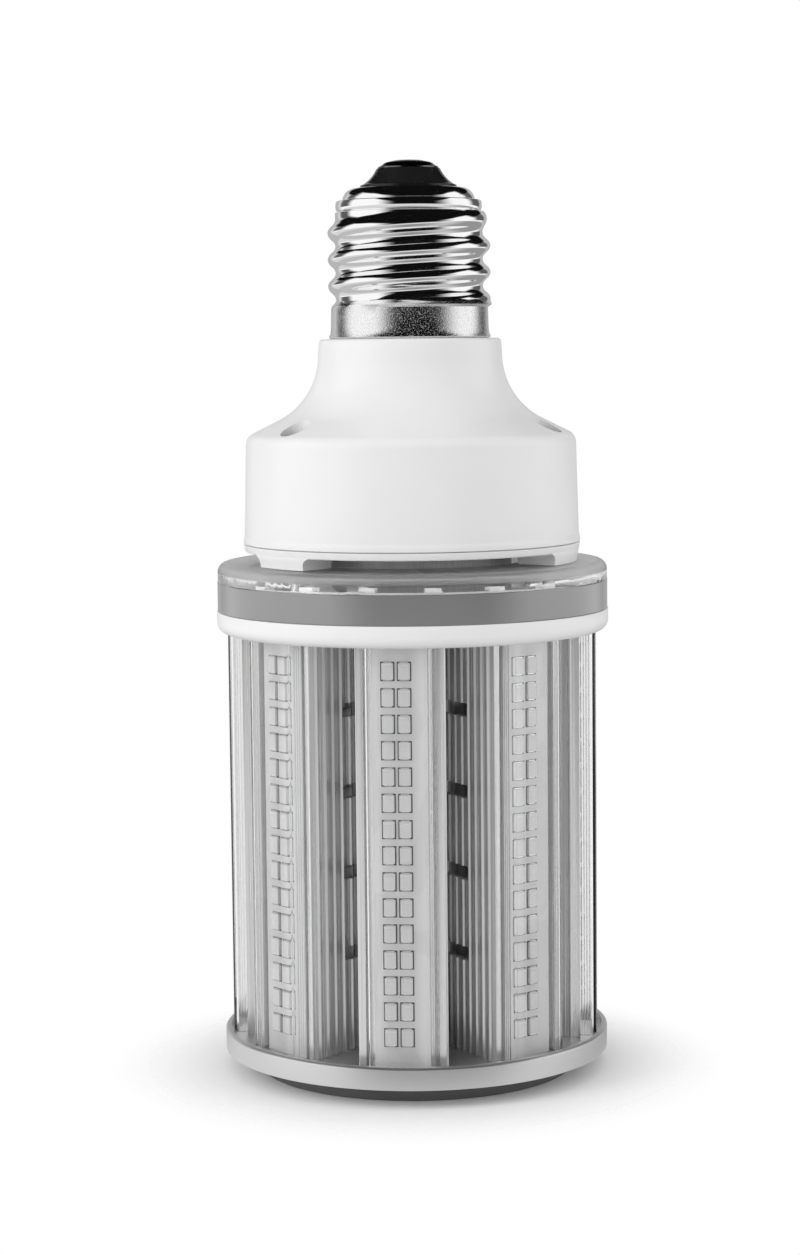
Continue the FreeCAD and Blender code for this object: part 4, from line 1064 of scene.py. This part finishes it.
# %% Hang the softboxes
# Power in watts, width, height and place in metres.
SOFTBOXES = {
    "left_softbox": (3.15, 0.4, 0.6, (-0.70, -0.40, 0.40)),
    "right_softbox": (1.5, 0.5, 0.9, (0.75, -0.25, 0.30)),
    "top_softbox": (0.4, 0.7, 0.7, (0.0, -0.2, 1.0)),
}
LAMP_MIDDLE = Vector((0, 0, 0.12))


def hang_softbox(name, power, width, height, place):
    """A softbox that lights the lamp and isn't mirrored in it."""
    light = bpy.data.lights.new(name, "AREA")
    light.shape = "RECTANGLE"
    light.size = width
    light.size_y = height
    light.energy = power
    made = bpy.data.objects.new(name, light)
    made.location = place
    made.rotation_euler = (LAMP_MIDDLE - Vector(place)).to_track_quat("-Z", "Y").to_euler()
    made.visible_glossy = False
    bpy.context.scene.collection.objects.link(made)


for name, settings in SOFTBOXES.items():
    hang_softbox(name, *settings)
print(len(SOFTBOXES), "softboxes:", ", ".join(SOFTBOXES))

# %% Light the surround
# It is a little dimmer as a light than it looks, so that whites keep their shade.
SURROUND_LIGHT = 0.735
world = bpy.data.worlds.new("surround")
bpy.context.scene.world = world
world.use_nodes = True
links = world.node_tree.links
background = world.node_tree.nodes["Background"]
path = world.node_tree.nodes.new("ShaderNodeLightPath")
seen = path.outputs["Is Camera Ray"]
for ray in ("Is Glossy Ray", "Is Transmission Ray"):
    either = world.node_tree.nodes.new("ShaderNodeMath")
    either.operation = "MAXIMUM"
    links.new(seen, either.inputs[0])
    links.new(path.outputs[ray], either.inputs[1])
    seen = either.outputs[0]
strength = world.node_tree.nodes.new("ShaderNodeMapRange")
strength.inputs["To Min"].default_value = SURROUND_LIGHT
strength.inputs["To Max"].default_value = 1.0
links.new(seen, strength.inputs["Value"])
background.inputs["Color"].default_value = (1, 1, 1, 1)
links.new(strength.outputs[0], background.inputs["Strength"])
print("surround lights at", SURROUND_LIGHT, "and is seen at 1.0")

# %% [markdown]
# ## Camera
# The place and the lens come from fitting the rings of the CAD model to their
# edges in the photograph: a long lens, a little over cap height, tipped down.

# %% Set the camera
FOCAL_LENGTH = 80.6
CAMERA_PLACE = (-0.0031, -0.681, 0.1754)
TIPPED_DOWN = 5.70
ROLLED = -0.59
lens = bpy.data.cameras.new("camera")
lens.lens = FOCAL_LENGTH
lens.sensor_width = 36.0
lens.clip_start = 0.01
camera = bpy.data.objects.new("camera", lens)
camera.location = CAMERA_PLACE
tilt = Matrix.Rotation(math.radians(90.0 - TIPPED_DOWN), 4, "X")
roll = Matrix.Rotation(math.radians(ROLLED), 4, "Z")
camera.rotation_euler = (tilt @ roll).to_euler()
bpy.context.scene.collection.objects.link(camera)
bpy.context.scene.camera = camera
bpy.context.scene.view_settings.view_transform = "Standard"
print("camera at", CAMERA_PLACE, "with a lens of", FOCAL_LENGTH, "mm")
